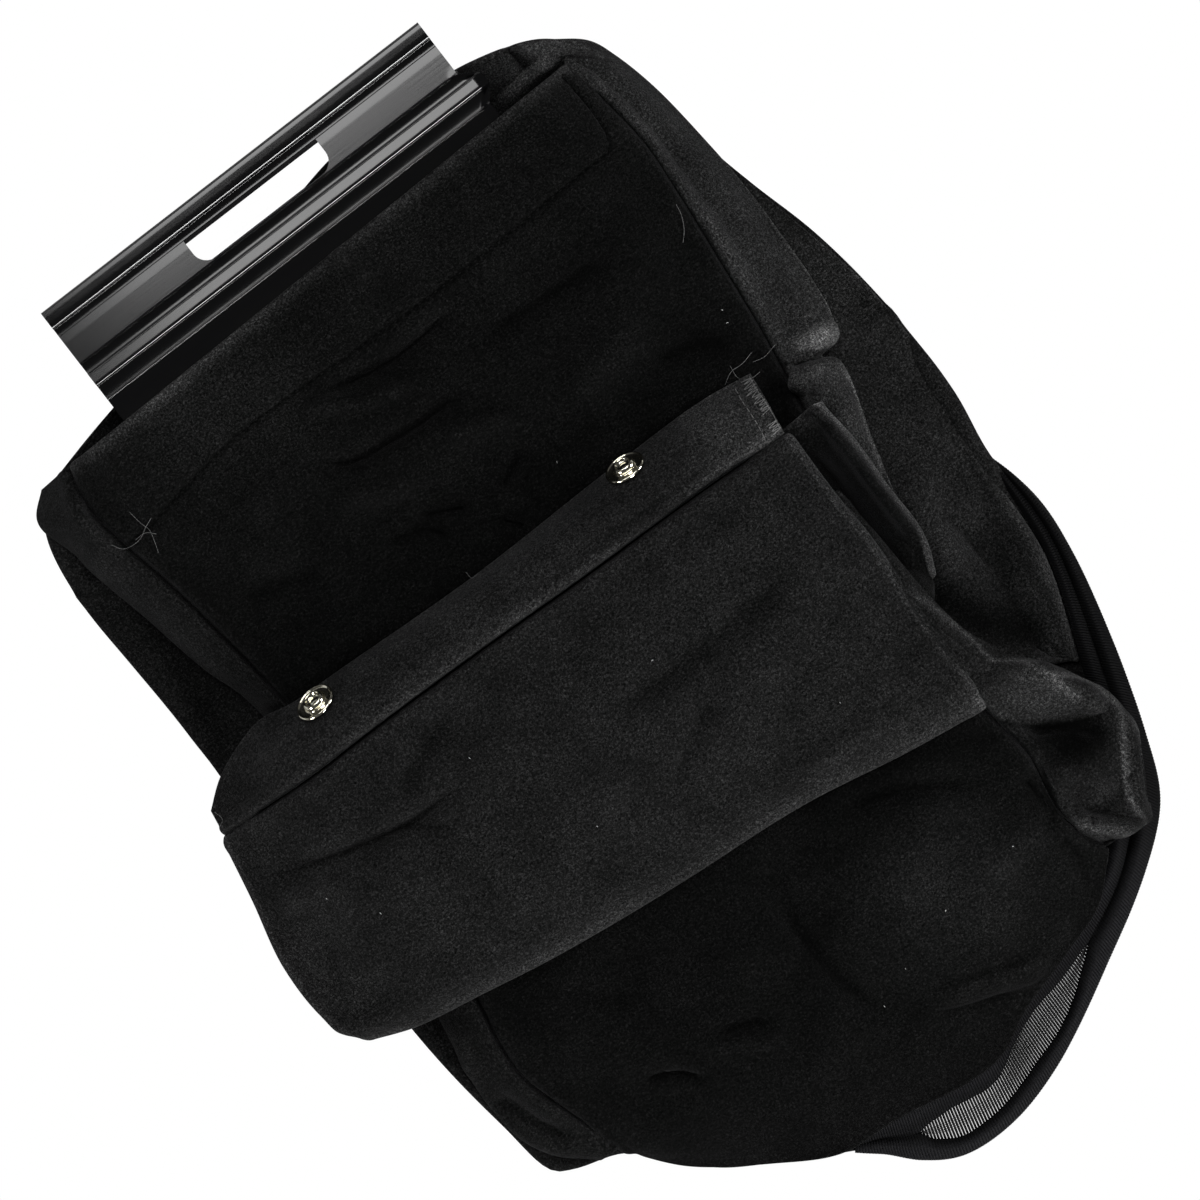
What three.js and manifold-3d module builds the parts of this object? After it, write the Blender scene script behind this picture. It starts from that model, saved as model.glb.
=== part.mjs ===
import * as THREE from "three";
import { mergeVertices } from "three/addons/utils/BufferGeometryUtils.js";
import Module from "manifold-3d";

const wasm = await Module();
wasm.setup();

// A felt vacuum bag for a chipper, lying on its back with its discharge sleeve folded across it.
// Millimetres, +X to the right, +Y towards the mouth, +Z up from the table.

// Cloth and air
const FELT = 2.6;
const WOVEN = 1.2;
const NET = 0.8;
const FACING = 1.6;
const GAP = 0.3;
const SEAM_GAP = 0.6;

// Heights of the cloth's underside over the table
const MOUTH_HEIGHT = 46;
const CROWN_HEIGHT = 49;
const WAIST_HEIGHT = 31;
const LOWER_CROWN_HEIGHT = 44;
const RIM_RISE = 8;
const SLEEVE_DEPTH = 30;

// The plastic handle extrusion
const HANDLE_LEFT = -160;
const HANDLE_LENGTH = 297;
const HANDLE_END_STEP = 12;
const CHANNEL_START = 262;
const FLANGE_DEPTH = 26;
const FLANGE_FOOT = CHANNEL_START - FLANGE_DEPTH;
const FLANGE_WALL = 2.4;
const POCKET_SLACK = 0.3;
const CHANNEL_WIDTH = 24.5;
const CHANNEL_WALL = 2.4;
const RIDGE_RADIUS = 5;
const RIDGE_CENTRE = CHANNEL_START + CHANNEL_WIDTH + RIDGE_RADIUS;
const STRIP_WIDTH = 6;
const WEB_START = RIDGE_CENTRE + RIDGE_RADIUS + STRIP_WIDTH;
const WEB_DEPTH = 21;
const WEB_WALL = 2.6;
const GROOVE_WIDTH = 5;
const BEAD_RADIUS = 5.75;
const SLOT_LEFT = -66;
const SLOT_LENGTH = 100;
const SLOT_DEPTH = 19.5;
const SLOT_CORNER = 10;

// Pocket facing behind the mouth edge
const FACING_DEPTH = 54;

// Press studs
const STUD_RADIUS = 13;
const SOCKET_RADIUS = 8.5;
const BACKING_RADIUS = 7;
const SHANK_RADIUS = 2.4;
const PLATE_WALL = 0.8;
const STUD_SEAT = 0.9;

// Mesh window
const WINDOW_LEFT = -46;
const WINDOW_LENGTH = 152;
const WINDOW_LAP = 3;
const SLIT_COUNT = 34;
const SLIT_WIDTH = 2.4;

const felt = () => new THREE.MeshStandardMaterial({ color: 0x17171a, roughness: 0.97, metalness: 0 });
const woven = () => new THREE.MeshStandardMaterial({ color: 0x1b1b1e, roughness: 0.6, metalness: 0 });
const net = () => new THREE.MeshStandardMaterial({ color: 0x202022, roughness: 0.7, metalness: 0 });
const gloss = () => new THREE.MeshStandardMaterial({ color: 0x0b0b0c, roughness: 0.22, metalness: 0 });
const nickel = () => new THREE.MeshStandardMaterial({ color: 0xc9c6b8, roughness: 0.2, metalness: 1 });

const lerp = THREE.MathUtils.lerp;
const smoothstep = THREE.MathUtils.smoothstep;
const shifted = (points, dx, dy, dz) => points.map(([x, y, z]) => [x + dx, y + dy, z + dz]);

// A value that runs smoothly through evenly spaced values as t goes from 0 to 1
function through(values) {
  const spline = new THREE.SplineCurve(values.map((value, i) => new THREE.Vector2(i, value)));
  return (t) => spline.getPoint(t).y;
}

// A patch between four edges. The top and bottom lists hold only the points between the corners.
function patch({ left, right, top = [], bottom = [] }) {
  const curve = (points) => new THREE.CatmullRomCurve3(points, false, "centripetal");
  const vectors = (points) => points.map(([x, y, z]) => new THREE.Vector3(x, y, z));
  const leftEdge = curve(vectors(left));
  const rightEdge = curve(vectors(right));
  const corner = (edge, v) => edge.getPointAt(v);
  const topEdge = curve([corner(leftEdge, 0), ...vectors(top), corner(rightEdge, 0)]);
  const bottomEdge = curve([corner(leftEdge, 1), ...vectors(bottom), corner(rightEdge, 1)]);
  const corners = [corner(leftEdge, 0), corner(rightEdge, 0), corner(leftEdge, 1), corner(rightEdge, 1)];
  return (u, v) => {
    const point = leftEdge.getPointAt(v).multiplyScalar(1 - u);
    point.addScaledVector(rightEdge.getPointAt(v), u);
    point.addScaledVector(topEdge.getPointAt(u), 1 - v);
    point.addScaledVector(bottomEdge.getPointAt(u), v);
    point.addScaledVector(corners[0], -(1 - u) * (1 - v));
    point.addScaledVector(corners[1], -u * (1 - v));
    point.addScaledVector(corners[2], -(1 - u) * v);
    point.addScaledVector(corners[3], -u * v);
    return point;
  };
}

// Lift of one soft fold: a ridge, or a valley where the height is negative, along a line in plan
function foldLift(point, { from, to, width, height }) {
  const start = new THREE.Vector2(...from);
  const line = new THREE.Vector2(...to).sub(start);
  const offset = new THREE.Vector2(point.x, point.y).sub(start);
  const share = THREE.MathUtils.clamp(offset.dot(line) / line.lengthSq(), 0, 1);
  const distance = offset.addScaledVector(line, -share).length();
  return height * Math.exp(-((distance / width) ** 2));
}

// A patch pushed up towards its crest heights between two shoulders, with folds on top
function pillow(surface, { crest, shoulder, folds = [] }) {
  const crestAt = through(crest);
  const shoulderAt = through(shoulder);
  return (u, v) => {
    const point = surface(u, v);
    const side = Math.min(u, 1 - u);
    const share = smoothstep(side, 0, shoulderAt(v));
    point.z = lerp(point.z, crestAt(v), share);
    const calm = smoothstep(side, 0, 0.1) * smoothstep(Math.min(v, 1 - v), 0, 0.08);
    point.z += calm * folds.reduce((sum, fold) => sum + foldLift(point, fold), 0);
    return point;
  };
}

// The same surface, lower or higher, over a part of its spread
const part = (surface, [u0, u1], [v0, v1], lift) => (u, v) => {
  const point = surface(lerp(u0, u1, u), lerp(v0, v1, v));
  point.z += lift;
  return point;
};

// The outward direction of a surface whose u runs to the right and v runs down
function outwardAt(surface, u, v) {
  const step = 0.004;
  const [u0, u1] = [Math.max(u - step, 0), Math.min(u + step, 1)];
  const [v0, v1] = [Math.max(v - step, 0), Math.min(v + step, 1)];
  const acrossIt = surface(u1, v).sub(surface(u0, v));
  const downIt = surface(u, v1).sub(surface(u, v0));
  return downIt.cross(acrossIt).normalize();
}

// A closed sheet of cloth that grows outward from its inner surface
function sheet(surface, thickness, across, along, crowded = false) {
  const positions = { inner: [], outer: [] };
  for (let j = 0; j <= along; j++) {
    for (let i = 0; i <= across; i++) {
      const u = crowded ? 0.5 - 0.5 * Math.cos((Math.PI * i) / across) : i / across;
      const v = j / along;
      const inner = surface(u, v);
      const outer = outwardAt(surface, u, v).multiplyScalar(thickness).add(inner);
      positions.inner.push(...inner.toArray());
      positions.outer.push(...outer.toArray());
    }
  }
  const row = across + 1;
  const layer = row * (along + 1);
  const index = [];
  for (let j = 0; j < along; j++) {
    for (let i = 0; i < across; i++) {
      const [a, b] = [j * row + i, j * row + i + 1];
      const [c, d] = [a + row, b + row];
      index.push(a, c, d, a, d, b);
      index.push(layer + a, layer + d, layer + c, layer + a, layer + b, layer + d);
    }
  }
  const rim = [];
  for (let j = 0; j < along; j++) rim.push(j * row);
  for (let i = 0; i < across; i++) rim.push(along * row + i);
  for (let j = along; j > 0; j--) rim.push(j * row + across);
  for (let i = across; i > 0; i--) rim.push(i);
  rim.forEach((p, k) => {
    const q = rim[(k + 1) % rim.length];
    index.push(q, p, layer + p, q, layer + p, layer + q);
  });
  const geometry = new THREE.BufferGeometry();
  const all = [...positions.outer, ...positions.inner];
  geometry.setAttribute("position", new THREE.Float32BufferAttribute(all, 3));
  geometry.setIndex(index);
  return geometry;
}

// Shared vertices merged, flat triangles dropped, faces turned outward
function closed(source) {
  const bare = source.clone();
  bare.deleteAttribute("normal");
  bare.deleteAttribute("uv");
  const geometry = mergeVertices(bare, 1e-4);
  const p = geometry.attributes.position;
  const at = (i) => new THREE.Vector3().fromBufferAttribute(p, i);
  const index = [];
  let volume = 0;
  for (let k = 0; k < geometry.index.count; k += 3) {
    const [a, b, c] = [0, 1, 2].map((n) => geometry.index.getX(k + n));
    if (a === b || b === c || c === a) continue;
    index.push([a, b, c]);
    volume += at(a).dot(at(b).cross(at(c)));
  }
  geometry.setIndex(index.flatMap(([a, b, c]) => (volume < 0 ? [a, c, b] : [a, b, c])));
  return geometry;
}

function toSolid(geometry) {
  const shell = closed(geometry);
  const vertProperties = new Float32Array(shell.attributes.position.array);
  const triVerts = new Uint32Array(shell.index.array);
  return new wasm.Manifold(new wasm.Mesh({ numProp: 3, vertProperties, triVerts }));
}

function fromSolid(solid) {
  const mesh = solid.getMesh();
  const geometry = new THREE.BufferGeometry();
  geometry.setAttribute("position", new THREE.Float32BufferAttribute(mesh.vertProperties, 3));
  geometry.setIndex(Array.from(mesh.triVerts));
  return geometry;
}

const cut = (geometry, cutters) =>
  fromSolid(cutters.reduce((solid, cutter) => solid.subtract(toSolid(cutter)), toSolid(geometry)));

// An upright prism over an outline in plan
function prism(points, low, high) {
  const outline = new THREE.Shape(points.map(([x, y]) => new THREE.Vector2(x, y)));
  const geometry = new THREE.ExtrudeGeometry(outline, { depth: high - low, bevelEnabled: false });
  return geometry.translate(0, 0, low);
}

function smoothOutline(points, count) {
  const corners = points.map(([x, y]) => new THREE.Vector3(x, y, 0));
  const curve = new THREE.CatmullRomCurve3(corners, true, "centripetal");
  return curve.getSpacedPoints(count).slice(0, count).map(({ x, y }) => [x, y]);
}

// A turned piece about its own +Z, from radius and height pairs
function turned(profile, segments) {
  const points = profile.map(([radius, height]) => new THREE.Vector2(radius, height));
  return new THREE.LatheGeometry(points, segments).rotateX(Math.PI / 2);
}

const bag = new THREE.Group();

function add(name, geometry, material, parent = bag) {
  const mesh = new THREE.Mesh(closed(geometry), material);
  mesh.name = name;
  parent.add(mesh);
  return mesh;
}

// Seams of the bag's front, from the mouth down, as the inner edge of the cloth
const frontLeftSeam = [
  [-203, 258, 22], [-209, 232, 30], [-206, 205, 34], [-199, 170, 34],
  [-192, 120, 31], [-187, 70, 26], [-181, 0, 22], [-176, -62, 20],
];
const frontRightSeam = [
  [181, 267, 22], [185, 240, 33], [189, 200, 37], [186, 160, 38],
  [181, 115, 35], [175, 65, 30], [164, 0, 24], [152, -62, 22],
];
const frontFolds = [
  { from: [-120, 170], to: [20, 120], width: 16, height: 3 },
  { from: [-90, 120], to: [0, 105], width: 12, height: -3 },
  { from: [-40, 185], to: [110, 180], width: 12, height: -2.5 },
  { from: [60, 100], to: [150, 150], width: 18, height: 3 },
  { from: [-150, 95], to: [-110, 150], width: 14, height: -3 },
];
const upperFront = pillow(patch({ left: frontLeftSeam, right: frontRightSeam }), {
  crest: [
    MOUTH_HEIGHT, MOUTH_HEIGHT, CROWN_HEIGHT, CROWN_HEIGHT - 1,
    lerp(CROWN_HEIGHT, WAIST_HEIGHT, 0.4), WAIST_HEIGHT + 4, WAIST_HEIGHT + 1, WAIST_HEIGHT,
  ],
  shoulder: [0.08, 0.12, 0.2, 0.26, 0.3],
  folds: frontFolds,
});

function upperFrontPanel() {
  add("upper_front_panel", sheet(upperFront, FELT, 16, 16, true), felt());
}

// The facing closes the pocket that holds the handle's flange
function handlePocketFacing() {
  const drop = FLANGE_WALL + POCKET_SLACK + 2 * GAP + FACING;
  const panelLength = frontLeftSeam[0][1] - frontLeftSeam.at(-1)[1];
  const spread = part(upperFront, [0.1, 0.9], [0.03, FACING_DEPTH / panelLength], -drop);
  add("handle_pocket_facing", sheet(spread, FACING, 10, 3), felt());
}

// Gussets run down from the front seams to the back panel
function upperLeftGusset() {
  const outer = [
    [-224, 257, FELT + GAP], [-238, 243, FELT + GAP], [-231, 215, FELT + GAP], [-224, 183, FELT + GAP],
    [-216, 147, FELT + GAP], [-205, 98, FELT + GAP], [-198, 40, FELT + GAP], [-192, -62, FELT + GAP],
  ];
  const seam = shifted(frontLeftSeam, -SEAM_GAP, 0, 0);
  add("upper_left_gusset", sheet(patch({ left: outer, right: seam }), FELT, 4, 16), felt());
}

const sideInner = [
  [214, 140, 6.5], [203, 85, 7], [186, 40, 8], [168, 0, 12], [160, -40, 15], [150, -100, 19], [147, -172, 24],
];
const sideOuter = [
  [223, 146, FELT + GAP], [234, 100, FELT + GAP], [243, 50, FELT + GAP], [243, -20, FELT + GAP],
  [232, -75, FELT + GAP], [227, -140, FELT + GAP], [205, -205, FELT + GAP],
];
const rightSide = patch({ left: sideInner, right: sideOuter });

function rightSidePanel() {
  add("right_side_panel", sheet(rightSide, FELT, 6, 14), felt());
}

function upperRightGusset() {
  const onBack = FELT + GAP;
  const outer = [
    [196, 270, onBack], [205, 255, onBack], [213, 225, onBack + 1], [218, 180, onBack + 2], [220, 148, onBack + 5],
    [220, 110, onBack + 7], [218, 72, onBack + 7], [213, 48, onBack + 8], [196, 37, onBack + 10],
    [200, 18, onBack + 11], [196, 0, onBack + 12], [187, -28, onBack + 15], [180, -55, onBack + 19],
  ];
  const seam = shifted(frontRightSeam, SEAM_GAP, 0, 0);
  const surface = pillow(patch({ left: seam, right: outer }), {
    crest: [20, 24, 26, 26, 26, 25, 22, 24, 24, 23, 23],
    shoulder: [0.5, 0.5, 0.5, 0.5],
    folds: [{ from: [168, 52], to: [214, 42], width: 9, height: -6 }],
  });
  add("upper_right_gusset", sheet(surface, FELT, 6, 16), felt());
}

// The felt back lies flat on the table under everything
function backPanel() {
  const mouth = [
    [-203, 259], [-160, 271], [-60, 290], [1, 303], [40, 310], [90, 309], [137, 303], [175, 290], [197, 271],
  ];
  const right = [
    [213, 228], [219, 175], [226, 142], [238, 95], [245, 40], [245, -30], [239, -72],
    [238, -110], [232, -145], [222, -175], [209, -212], [200, -250], [186, -286],
  ];
  const bottom = [
    [150, -306], [110, -325], [60, -342], [15, -354], [-25, -351], [-60, -353], [-80, -357],
  ];
  const left = [
    [-125, -332], [-155, -312], [-178, -284], [-195, -271], [-221, -262], [-233, -254],
    [-240, -215], [-247, -150], [-248, 0], [-245, 90], [-248, 195], [-240, 235], [-225, 255],
  ];
  const outline = smoothOutline([...mouth, ...right, ...bottom, ...left], 90);
  add("back_panel", prism(outline, 0, FELT), felt());
}

// The ribbed woven rim rises from the table to the lower edge of the felt front
const rimOuter = [
  [-82, -357, FELT + GAP], [-68, -368, 1], [-52, -385, 0], [-30, -398, 0], [5, -400, 0], [45, -390, 0],
  [110, -358, 0], [160, -329, 0], [192, -302, 0], [210, -265, 0], [228, -210, 0], [242, -150, 0],
  [247, -112, 1], [243, -68, FELT + GAP],
];
const rimInner = [
  [-76, -350, 4], [-62, -348, 6], [-40, -349, RIM_RISE], [-15, -353, RIM_RISE], [15, -358, RIM_RISE],
  [50, -345, RIM_RISE], [100, -330, RIM_RISE], [140, -313, RIM_RISE], [163, -292, 7.5], [186, -258, 6.5],
  [203, -215, 6], [229, -145, 6], [234, -110, 6], [235, -70, 6],
];
const rim = patch({ left: rimOuter, right: rimInner });

// The window is a lens between two shallow arcs
function windowLens(margin) {
  const tipLeft = new THREE.Vector2(WINDOW_LEFT - margin, -369);
  const tipRight = new THREE.Vector2(WINDOW_LEFT + WINDOW_LENGTH + margin, -343 + margin / 2);
  const lower = new THREE.QuadraticBezierCurve(tipLeft, new THREE.Vector2(16, -403 - 2 * margin), tipRight);
  const upper = new THREE.QuadraticBezierCurve(tipRight, new THREE.Vector2(22, -374 + 2 * margin), tipLeft);
  const steps = 14;
  const points = [...lower.getPoints(steps).slice(0, steps), ...upper.getPoints(steps).slice(0, steps)];
  return points.map(({ x, y }) => [x, y]);
}

function rimCloth() {
  const cloth = sheet(rim, WOVEN, 3, 32);
  add("rim_cloth", cut(cloth, [prism(windowLens(0), -RIM_RISE, 3 * RIM_RISE)]), woven());
}

function meshWindow() {
  const under = sheet(part(rim, [0, 1], [0, 0.5], -GAP - NET), NET, 2, 12);
  const lens = toSolid(prism(windowLens(WINDOW_LAP), -RIM_RISE, 3 * RIM_RISE));
  const cloth = toSolid(under).intersect(lens);
  const slitLens = toSolid(prism(windowLens(-WINDOW_LAP), -RIM_RISE, 3 * RIM_RISE));
  const pitch = WINDOW_LENGTH / SLIT_COUNT;
  const slits = [];
  for (let k = 0; k < SLIT_COUNT; k++) {
    const slit = new THREE.BoxGeometry(SLIT_WIDTH, 40, 60);
    slit.translate(WINDOW_LEFT + (k + 0.5) * pitch, -370, 0);
    slits.push(toSolid(slit).intersect(slitLens));
  }
  const pierced = slits.reduce((solid, slit) => solid.subtract(slit), cloth);
  add("mesh_window", fromSolid(pierced), net());
}

// The lower front of the bag, from the hidden waist seam to the rim
const lowerLeftSeam = [
  [-178, -66, 20], [-196, -110, 24], [-206, -150, 26], [-212, -195, 24],
  [-201, -235, 18], [-192, -268, FELT + GAP + 3],
];
const lowerRightSeam = [
  [149, -66, 22], [141, -120, 28], [142, -187, 36], [146, -230, 36], [140, -272, 30], [150, -305, 16],
];
const lowerEdge = [
  [-165, -302, FELT + GAP + 1], [-125, -331, FELT + GAP + 1], [-88, -352, FELT + GAP + 2], [-50, -356, 10],
  [0, -365, 11], [25, -364, 11], [50, -352, 11.5], [90, -340, 12], [125, -328, 12],
];
const lowerFront = pillow(
  patch({ left: lowerLeftSeam, right: lowerRightSeam, bottom: lowerEdge }),
  {
    crest: [WAIST_HEIGHT, WAIST_HEIGHT + 2, LOWER_CROWN_HEIGHT - 6, LOWER_CROWN_HEIGHT, 36, 12],
    shoulder: [0.2, 0.3, 0.35, 0.35],
    folds: [
      { from: [-18, -200], to: [-15, -310], width: 18, height: -7 },
      { from: [70, -235], to: [90, -290], width: 42, height: 7 },
      { from: [-110, -230], to: [-60, -265], width: 20, height: -3 },
    ],
  },
);

function lowerFrontPanel() {
  add("lower_front_panel", sheet(lowerFront, FELT, 16, 14, true), felt());
}

function lowerLeftGusset() {
  const onBack = FELT + GAP;
  const outer = [
    [-200, -66, onBack], [-222, -110, onBack], [-232, -160, onBack], [-237, -205, onBack],
    [-229, -240, onBack], [-204, -266, onBack],
  ];
  const seam = shifted(lowerLeftSeam, -SEAM_GAP, 0, 0);
  add("lower_left_gusset", sheet(patch({ left: outer, right: seam }), FELT, 4, 12), felt());
}

// The crumpled gusset hangs from the sleeve's right seam and runs down beside the lower front
function lowerRightGusset() {
  const seam = [
    [147.4, -35, 62], [148.2, -70, 63], [144.8, -110, 58], [143.4, -150, 50], [143.2, -187, 41],
    [147, -230, 37], [141.2, -272, 31], [151.6, -303, 18],
  ];
  const outer = [
    [152, -35, 60], [154, -70, 60], [156, -110, 54], [162, -150, 44], [180, -183, 34],
    [206, -228, 18], [203, -268, 12], [181, -307, 12],
  ];
  const surface = pillow(patch({ left: seam, right: outer }), {
    crest: [61, 62, 57, 50, 42, 34, 26, 18],
    shoulder: [0.5, 0.5],
    folds: [
      { from: [152, -212], to: [195, -236], width: 8, height: -6 },
      { from: [160, -250], to: [200, -255], width: 9, height: 4 },
      { from: [150, -285], to: [190, -275], width: 7, height: -3 },
    ],
  });
  add("lower_right_gusset", sheet(surface, FELT, 5, 18), felt());
}

// The discharge sleeve: a flat tube of felt with its open end to the right.
// It lies on the waist of the bag, and its front stands SLEEVE_DEPTH over its back.
const sleeveFloor = WAIST_HEIGHT + FELT + GAP;
const sleeveRoof = sleeveFloor + SLEEVE_DEPTH;
const sleeveTopSeam = [
  [-240, 24, sleeveRoof - 32], [-200, 21.5, sleeveRoof - 12], [-150, 21, sleeveRoof], [-70, 19, sleeveRoof + 4],
  [0, 16, sleeveRoof + 5], [80, 14, sleeveRoof + 3],
];
const sleeveFold = [
  [-247, -130, 24], [-200, -139, sleeveFloor + 4], [-150, -148, sleeveFloor + 11], [-70, -158, sleeveFloor + 14],
  [20, -166, sleeveFloor + 14], [90, -179, sleeveFloor + 12],
];
const sleeveFront = pillow(
  patch({
    left: [[-264, 25, 18], [-272, -15, 16], [-282, -60, 14], [-281, -100, 14], [-271, -121, 15]],
    right: [
      [147, 10, sleeveRoof], [146, -40, sleeveRoof + 1], [147, -70, sleeveRoof + 1],
      [143, -120, sleeveRoof - 7], [142, -187, sleeveRoof - 22],
    ],
    top: sleeveTopSeam,
    bottom: sleeveFold,
  }),
  {
    crest: [sleeveRoof + 4, sleeveRoof + 8, sleeveRoof + 9, sleeveRoof + 7, sleeveRoof, sleeveFloor + 14],
    shoulder: [0.45, 0.4, 0.4, 0.45],
    folds: [
      { from: [-255, -18], to: [-160, -42], width: 10, height: -4 },
      { from: [-250, -45], to: [-170, -75], width: 12, height: 3 },
      { from: [40, -90], to: [130, -40], width: 20, height: 2 },
    ],
  },
);

function sleeveFrontPanel() {
  add("sleeve_front_panel", sheet(sleeveFront, FELT, 16, 13, true), felt());
}

function sleeveBackPanel() {
  const low = sleeveFloor - 0.7;
  const lip = low + 9.8;
  const surface = pillow(
    patch({
      left: [[-258, 20, 8], [-266, -20, 7], [-272, -60, 6], [-270, -95, 6], [-262, -114, 7]],
      right: [[174, 14, lip + 1], [177, -15, lip], [176, -50, lip], [175, -85, lip], [165, -112, lip]],
      top: [[-200, 17, low], [-100, 16, low + 4], [0, 14, low + 4], [100, 13, low + 4], [150, 14, low + 8]],
      bottom: [
        [-200, -128, low - 2], [-120, -138, low + 3.5], [-30, -148, low + 5.5], [60, -156, low + 6],
        [125, -155, low + 8],
      ],
    }),
    {
      crest: [low + 4, low + 2, low + 1.6, low + 2.2, low + 3.8, low + 5.8],
      shoulder: [0.3, 0.3],
    },
  );
  add("sleeve_back_panel", sheet(surface, FELT, 16, 9, true), felt());
}

// The two bands of the sleeve's mouth: the upper one carries the studs, the hidden one the sockets
const bandSurface = pillow(
  patch({
    left: [[-262, 42, 14], [-264, 27, 17]],
    right: [[154, 51, sleeveFloor + 6], [152, 35, sleeveRoof - 6], [148, 12, sleeveRoof + GAP]],
    top: [
      [-242, 56, 20], [-205, 67, 30], [-185, 63, 33], [-150, 61, sleeveFloor + 3], [-50, 56, sleeveFloor + 8],
      [50, 57, sleeveFloor + 8], [120, 56, sleeveFloor + 7],
    ],
    bottom: shifted(sleeveTopSeam, 0, 1, GAP),
  }),
  {
    crest: [
      sleeveFloor + 8.6, sleeveRoof - 9, sleeveRoof, sleeveRoof + 5, sleeveRoof + 7, sleeveRoof + 6,
      sleeveRoof + 5,
    ],
    shoulder: [0.4, 0.36, 0.3],
  },
);
const studPlaces = { left: [0.235, 0.25], right: [0.78, 0.2] };

const socketSurface = patch({
  left: [[-176, 47, sleeveFloor + 3.5], [-177, 21, sleeveFloor + 1.5]],
  right: [[132, 46, sleeveFloor + 5.6], [133, 18, sleeveFloor + 2.6]],
  top: [[-100, 47, sleeveFloor + 7.7], [0, 46, sleeveFloor + 7.7], [80, 46, sleeveFloor + 7.1]],
  bottom: [[-100, 20, sleeveFloor + 4.5], [0, 18.5, sleeveFloor + 4.1], [80, 18, sleeveFloor + 3.5]],
});
const socketPlaces = { left: [0.14, 0.5], right: [0.8, 0.5] };

// A frame on the outside of a sheet with its +Z along the outward direction
function frameOn(surface, [u, v], lift) {
  const frame = new THREE.Group();
  const outward = outwardAt(surface, u, v);
  frame.position.copy(surface(u, v).addScaledVector(outward, lift));
  frame.quaternion.setFromUnitVectors(new THREE.Vector3(0, 0, 1), outward);
  frame.updateMatrix();
  return frame;
}

function shankHole(surface, place) {
  const hole = new THREE.CylinderGeometry(SHANK_RADIUS + GAP, SHANK_RADIUS + GAP, 6 * FELT, 12);
  return hole.rotateX(Math.PI / 2).applyMatrix4(frameOn(surface, place, FELT / 2).matrix);
}

function snapBand() {
  const holes = Object.values(studPlaces).map((place) => shankHole(bandSurface, place));
  add("snap_band", cut(sheet(bandSurface, FELT, 18, 8, true), holes), felt());
}

function socketBand() {
  const holes = Object.values(socketPlaces).map((place) => shankHole(socketSurface, place));
  add("socket_band", cut(sheet(socketSurface, FELT, 10, 2), holes), felt());
}

// A stud is riveted through the cloth into its backing plate
function pressStud(side) {
  const frame = frameOn(bandSurface, studPlaces[side], FELT + STUD_SEAT);
  const depth = FELT + STUD_SEAT + 1.2 + PLATE_WALL;
  const shank = depth;
  const stud = turned([
    [0, -shank], [SHANK_RADIUS, -shank], [SHANK_RADIUS, 0], [STUD_RADIUS, 0], [STUD_RADIUS, PLATE_WALL],
    [STUD_RADIUS - 0.8, PLATE_WALL + 0.7], [STUD_RADIUS - 1.8, PLATE_WALL + 0.3], [7.4, PLATE_WALL],
    [6.8, 3.4], [5.8, 4.4], [4.6, 4.2], [3.8, 2.4], [0, 2],
  ], 24);
  const backing = turned([
    [SHANK_RADIUS + GAP, -depth], [BACKING_RADIUS, -depth], [BACKING_RADIUS, -depth + PLATE_WALL],
    [SHANK_RADIUS + GAP, -depth + PLATE_WALL], [SHANK_RADIUS + GAP, -depth],
  ], 18);
  add(`${side}_stud`, stud, nickel(), frame);
  add(`${side}_stud_backing`, backing, nickel(), frame);
  bag.add(frame);
}

// A socket is held by a cap whose post comes up through the cloth
function pressSocket(side) {
  const frame = frameOn(socketSurface, socketPlaces[side], FELT + GAP);
  const bore = SHANK_RADIUS + 2 * GAP;
  const socket = turned([
    [bore, 0], [SOCKET_RADIUS, 0], [SOCKET_RADIUS, PLATE_WALL], [6.4, PLATE_WALL + 0.4], [6, 3], [4.4, 3.4],
    [bore, 3], [bore, 0],
  ], 18);
  const under = -FELT - 2 * GAP;
  const cap = turned([
    [0, under - PLATE_WALL], [BACKING_RADIUS, under - PLATE_WALL], [BACKING_RADIUS, under],
    [SHANK_RADIUS, under], [SHANK_RADIUS, 1.5], [0, 1.5],
  ], 18);
  add(`${side}_socket`, socket, nickel(), frame);
  add(`${side}_socket_cap`, cap, nickel(), frame);
  bag.add(frame);
}

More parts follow.
